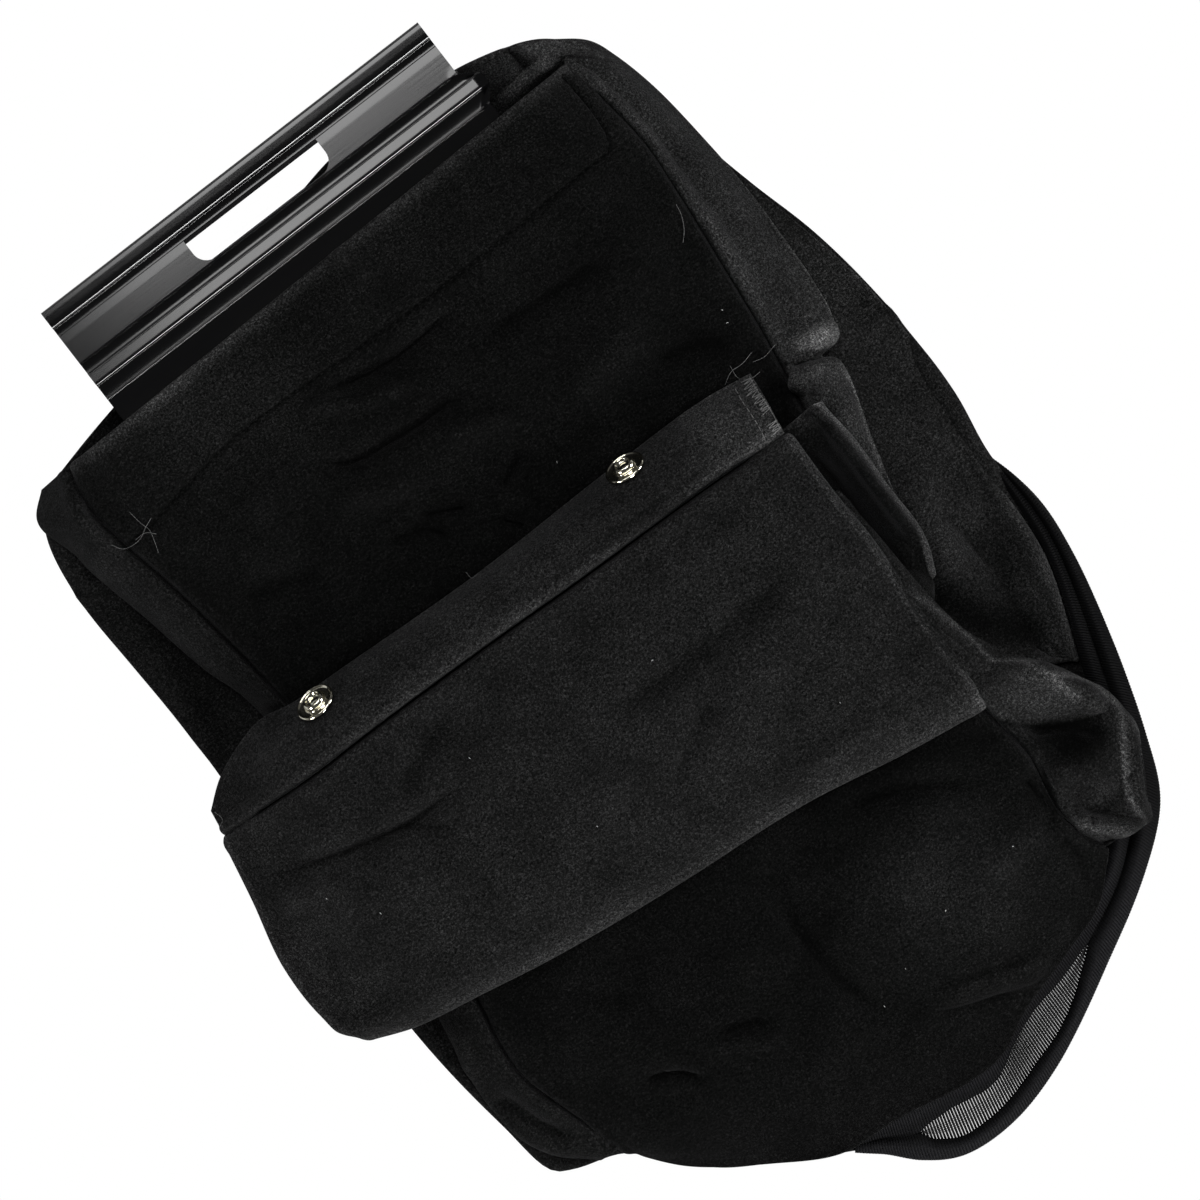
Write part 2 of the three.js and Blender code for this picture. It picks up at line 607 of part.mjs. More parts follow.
// The handle's section is drawn as depth along Y and height along Z, then run along X
function handleSection() {
  const webEnd = WEB_START + WEB_DEPTH;
  const beadCentre = webEnd + GROOVE_WIDTH + BEAD_RADIUS;
  const floor = WEB_WALL / 2;
  const low = floor - CHANNEL_WALL;
  const section = new THREE.Shape();
  section.moveTo(FLANGE_FOOT, 0);
  section.lineTo(CHANNEL_START - 1, 0);
  section.lineTo(CHANNEL_START + 1, low);
  section.lineTo(RIDGE_CENTRE - RIDGE_RADIUS - 0.5, low);
  section.lineTo(RIDGE_CENTRE - RIDGE_RADIUS + 2, 3.4);
  section.lineTo(RIDGE_CENTRE + RIDGE_RADIUS - 2, 3.4);
  section.lineTo(RIDGE_CENTRE + RIDGE_RADIUS, -floor);
  section.lineTo(webEnd + GROOVE_WIDTH, -floor);
  section.absarc(beadCentre, WEB_WALL, BEAD_RADIUS, Math.PI * 1.2, Math.PI * 0.92, false);
  section.lineTo(webEnd + GROOVE_WIDTH - 1, floor);
  section.lineTo(webEnd + 1, floor);
  section.lineTo(webEnd, WEB_WALL);
  section.lineTo(WEB_START, WEB_WALL);
  section.lineTo(WEB_START - 1, floor);
  section.lineTo(RIDGE_CENTRE + RIDGE_RADIUS, floor);
  section.absarc(RIDGE_CENTRE, WEB_WALL, RIDGE_RADIUS, 0, Math.PI, false);
  section.lineTo(RIDGE_CENTRE - RIDGE_RADIUS - 0.5, floor);
  section.lineTo(RIDGE_CENTRE - RIDGE_RADIUS - 5, floor);
  section.lineTo(RIDGE_CENTRE - RIDGE_RADIUS - 6.5, 3.2);
  section.lineTo(RIDGE_CENTRE - RIDGE_RADIUS - 10, 3.2);
  section.lineTo(RIDGE_CENTRE - RIDGE_RADIUS - 12, floor);
  section.lineTo(CHANNEL_START + 1.5, floor);
  section.lineTo(CHANNEL_START, FLANGE_WALL);
  section.lineTo(FLANGE_FOOT, FLANGE_WALL);
  return section;
}

function handSlot(depth) {
  const right = SLOT_LEFT + SLOT_LENGTH;
  const low = WEB_START + 0.5;
  const high = low + SLOT_DEPTH;
  const outline = new THREE.Shape();
  outline.moveTo(SLOT_LEFT, high);
  outline.lineTo(SLOT_LEFT, low + SLOT_CORNER);
  outline.absarc(SLOT_LEFT + SLOT_CORNER, low + SLOT_CORNER, SLOT_CORNER, Math.PI, Math.PI * 1.5, false);
  outline.absarc(right - SLOT_CORNER, low + SLOT_CORNER, SLOT_CORNER, Math.PI * 1.5, Math.PI * 2, false);
  outline.lineTo(right, high);
  const geometry = new THREE.ExtrudeGeometry(outline, { depth, bevelEnabled: false, curveSegments: 6 });
  return geometry.translate(0, 0, -depth / 2);
}

function bagHandle() {
  const options = { depth: HANDLE_LENGTH, bevelEnabled: false, curveSegments: 12 };
  const bar = new THREE.ExtrudeGeometry(handleSection(), options);
  const alongX = new THREE.Matrix4().makeBasis(
    new THREE.Vector3(0, 1, 0),
    new THREE.Vector3(0, 0, 1),
    new THREE.Vector3(1, 0, 0),
  );
  bar.applyMatrix4(alongX).translate(HANDLE_LEFT, 0, 0);
  const end = HANDLE_LEFT + HANDLE_LENGTH;
  const beyond = end + 20;
  const reach = WEB_START + WEB_DEPTH + GROOVE_WIDTH + 3 * BEAD_RADIUS;
  const endCut = prism([
    [end - HANDLE_END_STEP, reach], [end - HANDLE_END_STEP, WEB_START - 1], [end, RIDGE_CENTRE + 2],
    [end, RIDGE_CENTRE - 6], [end - 7, RIDGE_CENTRE - 10], [end - 7, FLANGE_FOOT - 5],
    [beyond, FLANGE_FOOT - 5], [beyond, reach],
  ], -40, 40);
  const handle = add("bag_handle", cut(bar, [handSlot(60), endCut]), gloss());
  handle.position.z = MOUTH_HEIGHT - GAP - POCKET_SLACK - FLANGE_WALL;
}

backPanel();
rimCloth();
meshWindow();
rightSidePanel();
upperLeftGusset();
upperRightGusset();
lowerLeftGusset();
lowerRightGusset();
upperFrontPanel();
handlePocketFacing();
lowerFrontPanel();
sleeveBackPanel();
sleeveFrontPanel();
socketBand();
snapBand();
for (const side of ["left", "right"]) {
  pressStud(side);
  pressSocket(side);
}
bagHandle();

// The origin is under the middle of the bag, on the table
const box = new THREE.Box3().setFromObject(bag, true);
const centre = box.getCenter(new THREE.Vector3());
bag.position.set(-centre.x, -centre.y, -box.min.z);
const chipperVacuumBag = new THREE.Group();
chipperVacuumBag.add(bag);

export default chipperVacuumBag;
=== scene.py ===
import math

import bmesh
import bpy
import numpy as np
from mathutils import Matrix, Vector
from mathutils.bvhtree import BVHTree


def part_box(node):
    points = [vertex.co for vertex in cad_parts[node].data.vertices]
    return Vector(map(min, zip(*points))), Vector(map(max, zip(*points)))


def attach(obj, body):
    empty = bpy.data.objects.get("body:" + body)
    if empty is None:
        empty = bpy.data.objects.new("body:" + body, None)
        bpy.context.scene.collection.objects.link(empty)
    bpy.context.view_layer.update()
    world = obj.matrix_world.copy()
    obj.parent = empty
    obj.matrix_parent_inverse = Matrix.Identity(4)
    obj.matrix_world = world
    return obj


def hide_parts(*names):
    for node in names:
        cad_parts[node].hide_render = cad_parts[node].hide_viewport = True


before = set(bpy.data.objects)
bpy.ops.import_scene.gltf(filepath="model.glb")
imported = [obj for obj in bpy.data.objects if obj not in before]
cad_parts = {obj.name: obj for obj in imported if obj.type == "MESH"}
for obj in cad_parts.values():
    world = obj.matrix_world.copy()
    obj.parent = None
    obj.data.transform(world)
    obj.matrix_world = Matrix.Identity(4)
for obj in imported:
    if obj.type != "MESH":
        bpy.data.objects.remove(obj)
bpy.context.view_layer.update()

MM = 0.001

# The bag's own millimetres: x to the right, y to the mouth, z up, with 0,0 at the middle of the photograph
HANDLE_LEFT = -160.0
FLANGE_FOOT = 236.0
handle_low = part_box("bag_handle")[0]
SHIFT = np.array([handle_low[0] - HANDLE_LEFT * MM, handle_low[1] - FLANGE_FOOT * MM, 0.0001])

# Thicknesses, clearances and heights, as in the CAD part
FELT = 2.6
FACING = 1.6
WOVEN = 1.2
GAP = 0.3
SEAM_GAP = 0.6
MOUTH_HEIGHT = 46.0
CROWN_HEIGHT = 49.0
WAIST_HEIGHT = 31.0
LOWER_CROWN_HEIGHT = 44.0
RIM_RISE = 8.0
SLEEVE_DEPTH = 30.0
SLEEVE_FLOOR = WAIST_HEIGHT + FELT + GAP
SLEEVE_ROOF = SLEEVE_FLOOR + SLEEVE_DEPTH
ON_BACK = FELT + GAP

# The photograph looks straight down, with the bag turned in its frame
FRAME_MM = 720.0
PHOTO_PIXELS = 1200
TURN = math.radians(37.7)
TURN_COS, TURN_SIN = math.cos(TURN), math.sin(TURN)
LENS = 400.0
SENSOR = 36.0
BAG_MIDDLE = 0.03
FLOOR_SIZE = 30.0
FLOOR_DROP = 0.0002

# For the overlocked thread and the lint
rng = np.random.default_rng(7)


# Curves and cloth surfaces

def smooth_curve(points, per_span=30):
    """Centripetal Catmull-Rom through the points, as dense points and their share of the length."""
    p = np.asarray(points, float)
    if len(p) == 2:
        dense = np.linspace(p[0], p[1], per_span)
    else:
        ends = np.vstack([2 * p[0] - p[1], p, 2 * p[-1] - p[-2]])
        dense = []
        for k in range(len(p) - 1):
            p0, p1, p2, p3 = ends[k:k + 4]
            spans = (p1 - p0, p2 - p1, p3 - p2)
            d0, d1, d2 = (max(np.linalg.norm(span), 1e-6) ** 0.5 for span in spans)
            m1 = ((p1 - p0) / d0 - (p2 - p0) / (d0 + d1) + (p2 - p1) / d1) * d1
            m2 = ((p2 - p1) / d1 - (p3 - p1) / (d1 + d2) + (p3 - p2) / d2) * d1
            t = np.linspace(0, 1, per_span, endpoint=k == len(p) - 2)[:, None]
            dense.append(p1 + m1 * t + (-3 * p1 + 3 * p2 - 2 * m1 - m2) * t ** 2
                         + (2 * p1 - 2 * p2 + m1 + m2) * t ** 3)
        dense = np.vstack(dense)
    steps = np.linalg.norm(np.diff(dense, axis=0), axis=1)
    share = np.concatenate([[0], np.cumsum(steps)]) / steps.sum()
    return dense, share


def above(height, points):
    """Points of an outline raised above a height; a point without a third value lies on that height."""
    return [(x, y, height + sum(own)) for x, y, *own in points]


def shifted(points, dx):
    return [(x + dx, y, z) for x, y, z in points]


def plan_curve(points, per_span):
    return smooth_curve(above(0, points), per_span)


def along(curve, t):
    dense, share = curve
    t = np.clip(t, 0, 1)
    return np.stack([np.interp(t, share, dense[:, axis]) for axis in range(3)], -1)


def through(values, t):
    """A value that runs smoothly through evenly spaced values as t goes from 0 to 1."""
    v = np.asarray(values, float)
    spot = np.clip(t, 0, 1) * (len(v) - 1)
    k = np.minimum(spot.astype(int), len(v) - 2)
    f = spot - k
    p0, p1, p2, p3 = v[np.maximum(k - 1, 0)], v[k], v[k + 1], v[np.minimum(k + 2, len(v) - 1)]
    m1, m2 = (p2 - p0) / 2, (p3 - p1) / 2
    return (2 * p1 - 2 * p2 + m1 + m2) * f ** 3 + (-3 * p1 + 3 * p2 - 2 * m1 - m2) * f ** 2 + m1 * f + p1


def ease(x, low, high):
    t = np.clip((x - low) / (high - low), 0, 1)
    return t * t * (3 - 2 * t)


def bell(distance, width):
    """1 at no distance, and falling off smoothly beyond the width."""
    return np.exp(-(distance / width) ** 2)


def patch(left, right, top=(), bottom=()):
    """A surface between four edges; u runs right and v runs down, and both may be arrays."""
    left_edge, right_edge = smooth_curve(left), smooth_curve(right)
    corner = [along(left_edge, 0.0), along(right_edge, 0.0), along(left_edge, 1.0), along(right_edge, 1.0)]
    top_edge = smooth_curve([corner[0], *top, corner[1]])
    bottom_edge = smooth_curve([corner[2], *bottom, corner[3]])

    def surface(u, v):
        a, b = u[..., None], v[..., None]
        sides = (1 - a) * along(left_edge, v) + a * along(right_edge, v)
        ends = (1 - b) * along(top_edge, u) + b * along(bottom_edge, u)
        flat = ((1 - a) * (1 - b) * corner[0] + a * (1 - b) * corner[1]
                + (1 - a) * b * corner[2] + a * b * corner[3])
        return sides + ends - flat

    return surface


def fold_lift(p, start, end, width, height):
    """A soft ridge along a line in plan, or a valley where the height is negative."""
    a, line = np.array(start, float), np.subtract(end, start).astype(float)
    offset = p[..., :2] - a
    share = np.clip(offset @ line / (line @ line), 0, 1)
    away = np.linalg.norm(offset - share[..., None] * line, axis=-1)
    return height * bell(away, width)


def pillow(surface, crest, shoulder, folds=()):
    def raised(u, v):
        p = surface(u, v)
        side = np.minimum(u, 1 - u)
        share = ease(side, 0, np.maximum(through(shoulder, v), 1e-3))
        p[..., 2] = p[..., 2] * (1 - share) + through(crest, v) * share
        calm = ease(side, 0, 0.1) * ease(np.minimum(v, 1 - v), 0, 0.08)
        for fold in folds:
            p[..., 2] += calm * fold_lift(p, *fold)
        return p

    return raised


def swollen(surface, amount):
    """The surface rounded out between its left and right edges."""
    def rounder(u, v):
        p = surface(u, v)
        p[..., 2] += amount * np.sin(math.pi * u) * ease(v, 0, 0.1)
        return p

    return rounder


def photo_spot(px, py):
    """Millimetres on the bag's plan for a place in the photograph."""
    scale = FRAME_MM / PHOTO_PIXELS
    dx, dy = px - PHOTO_PIXELS / 2, py - PHOTO_PIXELS / 2
    return scale * (TURN_COS * dx - TURN_SIN * dy), -scale * (TURN_SIN * dx + TURN_COS * dy)


def photo_line(spots):
    return [photo_spot(*spot) for spot in spots]


CREASE_STRENGTH = 1.65

# Creases by panel: a line in photograph pixels, its half width and its height in millimetres
CREASES = {
    "upper_front_panel": [
        ([(458, 302), (425, 335), (385, 365), (322, 397)], 4.5, -3.6),
        ([(300, 408), (365, 402), (420, 378)], 5, 3.0),
        ([(312, 460), (350, 463), (385, 445), (425, 420), (468, 388)], 5, -4.0),
        ([(470, 345), (520, 315), (580, 275), (618, 252)], 8, -3.2),
        ([(415, 517), (448, 510), (476, 506)], 4.5, -4.0),
        ([(498, 520), (532, 526)], 3.5, -3.0),
        ([(500, 506), (532, 500)], 4, 2.6),
        ([(524, 446), (512, 470), (498, 494)], 5, -3.2),
        ([(380, 545), (425, 530), (460, 540)], 5, -3.2),
        ([(330, 500), (380, 492), (420, 480)], 6, 2.8),
        ([(645, 368), (690, 348), (742, 338)], 8, -3.2),
        ([(240, 600), (290, 580), (330, 575)], 9, -2.8),
        ([(330, 258), (352, 262), (372, 282)], 5, 2.4),
        ([(560, 400), (600, 370), (640, 320)], 10, 2.2),
        ([(440, 440), (480, 425), (520, 415)], 4.5, 2.4),
    ],
    "snap_band": [
        ([(300, 728), (440, 640), (600, 540), (740, 452)], 7, -1.3),
        ([(255, 775), (300, 745), (350, 725)], 7, 1.6),
    ],
    "sleeve_front_panel": [
        ([(288, 872), (345, 852), (395, 830), (445, 797), (466, 778)], 4.5, -3.2),
        ([(395, 829), (430, 826), (462, 826)], 4, -1.6),
        ([(276, 908), (310, 894), (345, 880)], 5, 2.4),
        ([(398, 805), (425, 750), (460, 700)], 8, -1.8),
        ([(597, 727), (630, 700), (680, 665), (730, 625), (806, 560)], 9, -2.4),
        ([(712, 686), (695, 730), (668, 795)], 5, -2.0),
        ([(640, 770), (610, 800), (600, 840)], 9, 1.4),
        ([(328, 935), (336, 965), (342, 1000)], 6, -1.4),
        ([(850, 700), (900, 690), (950, 660)], 10, 1.6),
        ([(640, 610), (700, 560), (760, 520)], 12, 1.8),
    ],
    "sleeve_back_panel": [
        ([(800, 420), (820, 414), (846, 443), (889, 499), (922, 545)], 4.5, 6.0),
        ([(800, 447), (826, 470), (862, 522), (898, 572)], 7, -8.0),
        ([(905, 574), (925, 592), (920, 603)], 4, 5.0),
    ],
    "upper_right_gusset": [
        ([(784, 350), (810, 340), (838, 322)], 6, 4.5),
        ([(785, 370), (812, 362), (838, 353)], 3, -2.2),
        ([(786, 392), (812, 372), (846, 372)], 5, 4.0),
        ([(690, 200), (740, 262), (786, 320)], 12, 2.0),
        ([(838, 384), (850, 430), (880, 480)], 5, 2.5),
    ],
    "right_side_panel": [
        ([(960, 420), (1010, 500), (1051, 573), (1069, 609), (1082, 649), (1096, 690)], 6, 5.5),
        ([(985, 500), (1010, 590), (1045, 660)], 14, -3.5),
        ([(1033, 640), (1060, 660), (1073, 674)], 5, -3.0),
        ([(900, 470), (940, 520), (960, 600)], 12, 3.0),
        ([(930, 500), (970, 540), (1000, 560)], 7, -3.0),
    ],
    "back_panel": [
        ([(875, 296), (856, 316), (838, 340)], 4, 2.5),
        ([(893, 310), (872, 332), (858, 352)], 6, 3.5),
        ([(73, 590), (110, 586), (135, 592)], 5, 3.0),
        ([(905, 330), (965, 420), (1020, 520)], 10, 4.0),
        ([(140, 640), (180, 700), (215, 760)], 8, 2.5),
        ([(498, 108), (528, 78), (558, 54)], 4, 5.0),
        ([(506, 44), (514, 55), (532, 72)], 3, -3.0),
        ([(516, 110), (545, 88), (572, 62)], 4, -4.0),
    ],
    "upper_left_gusset": [
        ([(62, 520), (110, 566), (165, 612), (215, 665), (250, 708)], 9, 3.4),
        ([(72, 486), (92, 520), (130, 560)], 9, 3.0),
    ],
    "lower_front_panel": [
        ([(769, 880), (795, 925), (835, 975), (890, 1015)], 9, -3.0),
        ([(931, 1003), (977, 989), (1016, 976), (1055, 962)], 5, 3.0),
        ([(925, 1015), (975, 1001), (1020, 988)], 5, -2.5),
        ([(639, 1081), (676, 1072), (710, 1079)], 4, -3.0),
        ([(713, 1040), (744, 1025), (772, 1017)], 5, -2.2),
        ([(700, 1052), (740, 1042), (790, 1040)], 6, 2.0),
        ([(1020, 770), (1044, 800), (1062, 825)], 6, -3.5),
        ([(830, 815), (900, 790), (985, 780)], 8, -3.0),
        ([(560, 985), (600, 1000), (640, 990)], 9, -2.0),
        ([(975, 880), (1010, 850), (1050, 830)], 12, 2.5),
    ],
    "lower_left_gusset": [
        ([(442, 1016), (468, 1047), (474, 1087), (501, 1124), (545, 1151)], 5, 3.0),
        ([(490, 1090), (530, 1120), (575, 1140)], 6, -3.0),
        ([(500, 1105), (550, 1142), (585, 1150)], 5, 2.5),
    ],
    "lower_right_gusset": [
        ([(978, 693), (1002, 676), (1033, 676), (1064, 689), (1098, 707), (1120, 733), (1129, 769),
          (1136, 804), (1152, 829)], 5.5, 5.5),
        ([(1016, 733), (1056, 729), (1091, 731), (1109, 745)], 8, -3.6),
        ([(1131, 742), (1145, 772), (1149, 806)], 4, -4.5),
        ([(1091, 682), (1120, 707), (1142, 738), (1158, 778), (1159, 818)], 4, 3.5),
        ([(1036, 751), (1047, 787), (1058, 816), (1076, 831)], 4.5, -4.5),
        ([(1060, 816), (1091, 825), (1124, 828), (1149, 832)], 4.5, 5.0),
        ([(1078, 840), (1109, 842), (1142, 839)], 4, -3.0),
        ([(1087, 856), (1113, 858), (1136, 849)], 6, 3.0),
        ([(1092, 875), (1122, 876), (1138, 868)], 6, -4.0),
        ([(1104, 888), (1098, 914), (1076, 944)], 6, 3.5),
        ([(1050, 765), (1090, 780), (1120, 790)], 5, 2.2),
    ],
}


# Painted light and shade: how light each panel is painted overall, and soft spots of painted shade (factor
# below 1) and painted light (factor above 1)
PAINTED_SHADING = {
    "upper_front_panel": (0.36, [((450, 470), 75, 1.0), ((200, 400), 60, 2.8), ((420, 245), 60, 1.6),
                                ((590, 120), 55, 1.7), ((690, 330), 40, 0.9)]),
    "snap_band": (1.45, [((245, 790), 26, 0.65), ((745, 415), 36, 2.5), ((450, 620), 60, 1.4)]),
    "sleeve_front_panel": (1.2, []),
    "sleeve_back_panel": (0.42, [((800, 418), 9, 4.0)]),
    "upper_right_gusset": (1.9, [((820, 345), 24, 1.6), ((845, 410), 25, 1.3)]),
    "upper_left_gusset": (0.72, []),
    "right_side_panel": (1.45, []),
    "back_panel": (1.0, [((545, 65), 40, 3.6), ((190, 700), 60, 0.7)]),
    "lower_front_panel": (0.37, [((945, 880), 48, 2.9), ((850, 800), 60, 0.8)]),
    "lower_left_gusset": (0.7, []),
    "lower_right_gusset": (1.15, [((1082, 748), 20, 0.35), ((1040, 690), 20, 1.35)]),
}


# Painted highlights along folds, standing in for fibres that catch the light, and painted shadows in hollows
# where the factor is below 0:
# a line in photograph pixels, its half width in millimetres and its factor, which paints light above 0 and
# shade below 0
PAINTED_STROKES = {
    "upper_right_gusset": [
        ([(838, 318), (843, 340), (838, 356)], 1.6, 1.6),
        ([(786, 352), (812, 342), (838, 328)], 5, 1.1),
        ([(838, 366), (850, 385), (863, 425), (875, 458), (885, 482)], 1.4, 1.8),
        ([(775, 366), (805, 362), (838, 356)], 1.6, -0.7),
    ],
    "right_side_panel": [
        ([(972, 442), (986, 467), (1008, 484), (1028, 512), (1044, 540)], 1.6, 1.2),
        ([(1047, 645), (1061, 662), (1072, 673)], 1.3, 1.2),
        ([(930, 590), (985, 622), (1050, 640)], 15, -0.75),
        ([(890, 500), (905, 560), (930, 610)], 12, -0.55),
    ],
    "back_panel": [
        ([(871, 300), (855, 318), (838, 345)], 2.6, -0.6),
        ([(880, 312), (872, 332), (860, 350)], 5, 0.5),
        ([(504, 44), (514, 58), (536, 74)], 2.2, -0.6),
        ([(70, 596), (100, 590), (132, 592)], 2.2, -0.6),
    ],
    "lower_right_gusset": [
        ([(905, 587), (936, 614), (969, 642), (992, 662), (1017, 664), (1047, 674), (1062, 686),
          (1075, 696)], 1.5, 2.0),
        ([(1049, 675), (1070, 679), (1089, 685), (1103, 696), (1115, 707), (1122, 722), (1124, 744),
          (1126, 770), (1131, 800), (1141, 816), (1146, 828)], 1.4, 3.2),
        ([(1126, 718), (1141, 738), (1150, 761), (1157, 781), (1161, 798), (1159, 822)], 1.4, 1.6),
        ([(1000, 692), (1040, 700), (1080, 704)], 8, 0.6),
        ([(990, 722), (1024, 728), (1051, 726), (1077, 722), (1100, 716)], 2.6, -0.75),
        ([(1005, 742), (1040, 746), (1080, 744), (1108, 738)], 9, -0.6),
        ([(1044, 783), (1053, 805)], 3, -0.8),
        ([(1070, 824), (1107, 829), (1144, 835)], 1.5, 1.4),
        ([(1076, 838), (1100, 845), (1120, 840)], 4, -0.6),
        ([(1098, 868), (1120, 858), (1144, 842)], 1.4, 1.2),
        ([(1098, 890), (1118, 878), (1140, 862)], 5, -0.75),
    ],
    "sleeve_front_panel": [
        ([(800, 782), (870, 738), (940, 706), (985, 696)], 6, 0.45),
        ([(200, 700), (330, 1000)], 5, 0.2),
    ],
    "lower_front_panel": [
        ([(795, 812), (880, 770), (960, 742), (1015, 740)], 9, -0.45),
        ([(1062, 836), (1080, 860), (1086, 890)], 2.5, -0.5),
        ([(931, 998), (977, 984), (1016, 971), (1055, 957)], 1.3, 0.8),
        ([(935, 1012), (977, 998), (1016, 985), (1050, 972)], 2, -0.4),
    ],
}
# How much painted shade a crease valley gets and how much painted highlight a crease ridge gets, per
# millimetre of height
CREASE_SHADING = 0.14


# The painted light and shade of each point of a panel: its level and soft spots, crease shading, and traced
# highlights and shadows
def painted_shading_of(p, node):
    level, spots = PAINTED_SHADING.get(node, (1.0, []))
    painted_shading = np.full(p.shape[:2], level)
    for spot, radius, factor in spots:
        x, y = photo_spot(*spot)
        away = ((p[..., 0] - x) ** 2 + (p[..., 1] - y) ** 2) / radius ** 2
        painted_shading *= 1 + (factor - 1) * np.exp(-away)
    # Painted shade in crease valleys and painted highlight on crease ridges
    for height, strength in crease_shapes(p, node):
        painted_shading *= 1 + CREASE_SHADING * height * strength ** 2
    # Painted highlights along folds and painted shadows in hollows
    for line, width, factor in PAINTED_STROKES.get(node, ()):
        painted_shading *= 1 + factor * traced(p, line, width, 0.12)
    return np.maximum(painted_shading, 0.05)


# Stores painted light and shade on a piece, one value per point, for its material to multiply into the base
# colour
def set_painted_shading(piece, painted_shading):
    attribute = piece.data.attributes.new("painted_shading", "FLOAT", "POINT")
    attribute.data.foreach_set("value", np.asarray(painted_shading, np.float32).ravel())


def away_from(p, line, per_span=6):
    """Plan distance from a smooth line in millimetres, and how far along the line that is, from 0 to 1."""
    dense, share = plan_curve(line, per_span)
    away = np.full(p.shape[:2], 1e6)
    place = np.zeros(p.shape[:2])
    for k in range(len(dense) - 1):
        a, run = dense[k, :2], dense[k + 1, :2] - dense[k, :2]
        t = np.clip((p[..., :2] - a) @ run / max(run @ run, 1e-9), 0, 1)
        d = np.linalg.norm(p[..., :2] - a - t[..., None] * run, axis=-1)
        place = np.where(d < away, share[k] + t * (share[k + 1] - share[k]), place)
        away = np.minimum(away, d)
    return away, place


def traced(p, line, width, fade):
    """How strongly a line traced on the photograph shows at each point, faded at the line's ends."""
    away, place = away_from(p, photo_line(line))
    return ease(np.minimum(place, 1 - place), -0.04, fade) * bell(away, width)


def crease_shapes(p, node):
    """Each listed crease of a panel as its height and its strength over the panel."""
    for line, width, height in CREASES.get(node, ()):
        yield height, traced(p, line, width, 0.25)


def crease_lift(p, node):
    lift = np.zeros(p.shape[:2])
    for height, strength in crease_shapes(p, node):
        lift += CREASE_STRENGTH * height * strength
    return lift


# Smooth seeded noise for wrinkles

NOISE_CELLS = 64


def value_noise(x, y, seed):
    cells = np.random.default_rng(seed).uniform(-1, 1, (NOISE_CELLS, NOISE_CELLS))
    x0, y0 = np.floor(x).astype(int), np.floor(y).astype(int)
    fx, fy = x - x0, y - y0
    fx, fy = fx * fx * (3 - 2 * fx), fy * fy * (3 - 2 * fy)

    def pick(i, j):
        return cells[(x0 + i) % NOISE_CELLS, (y0 + j) % NOISE_CELLS]

    return ((pick(0, 0) * (1 - fx) + pick(1, 0) * fx) * (1 - fy)
            + (pick(0, 1) * (1 - fx) + pick(1, 1) * fx) * fy)


def rumple(p, seed, amount=1.0):
    """Broad, middle and small unevenness of slack felt, in millimetres."""
    x, y = p[..., 0], p[..., 1]
    warp = 14 * value_noise(x / 70, y / 70, seed)
    broad = value_noise((x + warp) / 62, (y - warp) / 48, seed + 1)
    middle = value_noise((x - warp) / 27, (y + warp) / 21, seed + 2)
    small = value_noise(x / 9, y / 9, seed + 3)
    return amount * (1.5 * broad + 0.7 * middle + 0.16 * small)


# Sheets as meshes

def grid_normals(p):
    across = np.gradient(p, axis=1)
    down = np.gradient(p, axis=0)
    n = np.cross(down, across)
    return n / np.maximum(np.linalg.norm(n, axis=-1, keepdims=True), 1e-9)


CURL_ROWS = 9
CURL_TURN = math.pi * 0.9


def side_last(grid, side):
    """The grid turned so that one of its sides becomes its last row."""
    if side in ("left", "right"):
        grid = np.swapaxes(grid, 0, 1)
    return grid[::-1] if side in ("left", "top") else grid


def curled(p, side, radius):
    """Adds rows that curl the cloth under itself beyond one side of the grid."""
    g = side_last(p, side)
    edge, normal = g[-1], side_last(grid_normals(p), side)[-1]
    out = g[-1] - g[-3]
    out -= (out * normal).sum(-1, keepdims=True) * normal
    out /= np.maximum(np.linalg.norm(out, axis=-1, keepdims=True), 1e-9)
    angles = np.linspace(0, CURL_TURN, CURL_ROWS + 1)[1:, None, None]
    extra = edge + radius * (np.sin(angles) * out - (1 - np.cos(angles)) * normal)
    g = np.concatenate([g, extra])
    if side in ("left", "top"):
        g = g[::-1]
    return np.swapaxes(g, 0, 1) if side in ("left", "right") else g


def grid_quads(index):
    """The quads of a grid of point numbers."""
    a, b, c, d = index[:-1, :-1], index[:-1, 1:], index[1:, :-1], index[1:, 1:]
    return np.stack([a, c, d, b], -1).reshape(-1, 4)


def joined_grids(grids):
    """Several grids of points as one list of points and one of quads."""
    points, quads, start = [], [], 0
    for p in grids:
        index = np.arange(p.shape[0] * p.shape[1]).reshape(p.shape[:2]) + start
        start += index.size
        points.append(p.reshape(-1, 3))
        quads.append(grid_quads(index))
    return np.vstack(points), np.vstack(quads)


def shell(name, inner, thickness, round_edge=0.9, outward=None):
    """A closed sheet that grows outward from a grid of inner points, with softened edges."""
    rows, columns = inner.shape[:2]
    n = grid_normals(inner) if outward is None else outward
    outer = inner + thickness * n
    i = np.minimum(np.arange(rows), np.arange(rows)[::-1])[:, None]
    j = np.minimum(np.arange(columns), np.arange(columns)[::-1])[None, :]
    soft = round_edge * bell(np.minimum(i, j), 0.8)[..., None]
    verts = np.concatenate([(outer - soft * n).reshape(-1, 3), (inner + 0.5 * soft * n).reshape(-1, 3)])
    count = rows * columns
    index = np.arange(count).reshape(rows, columns)
    front = grid_quads(index)
    back = np.roll(front[:, ::-1], 1, axis=1) + count
    loop = np.concatenate([index[:-1, 0], index[-1, :-1], index[:0:-1, -1], index[0, :0:-1]])
    following = np.roll(loop, -1)
    wall = np.stack([following, loop, loop + count, following + count], -1)
    return mesh_object(name, verts, np.concatenate([front, back, wall]))


def add_object(name, data):
    thing = bpy.data.objects.new(name, data)
    bpy.context.scene.collection.objects.link(thing)
    return thing


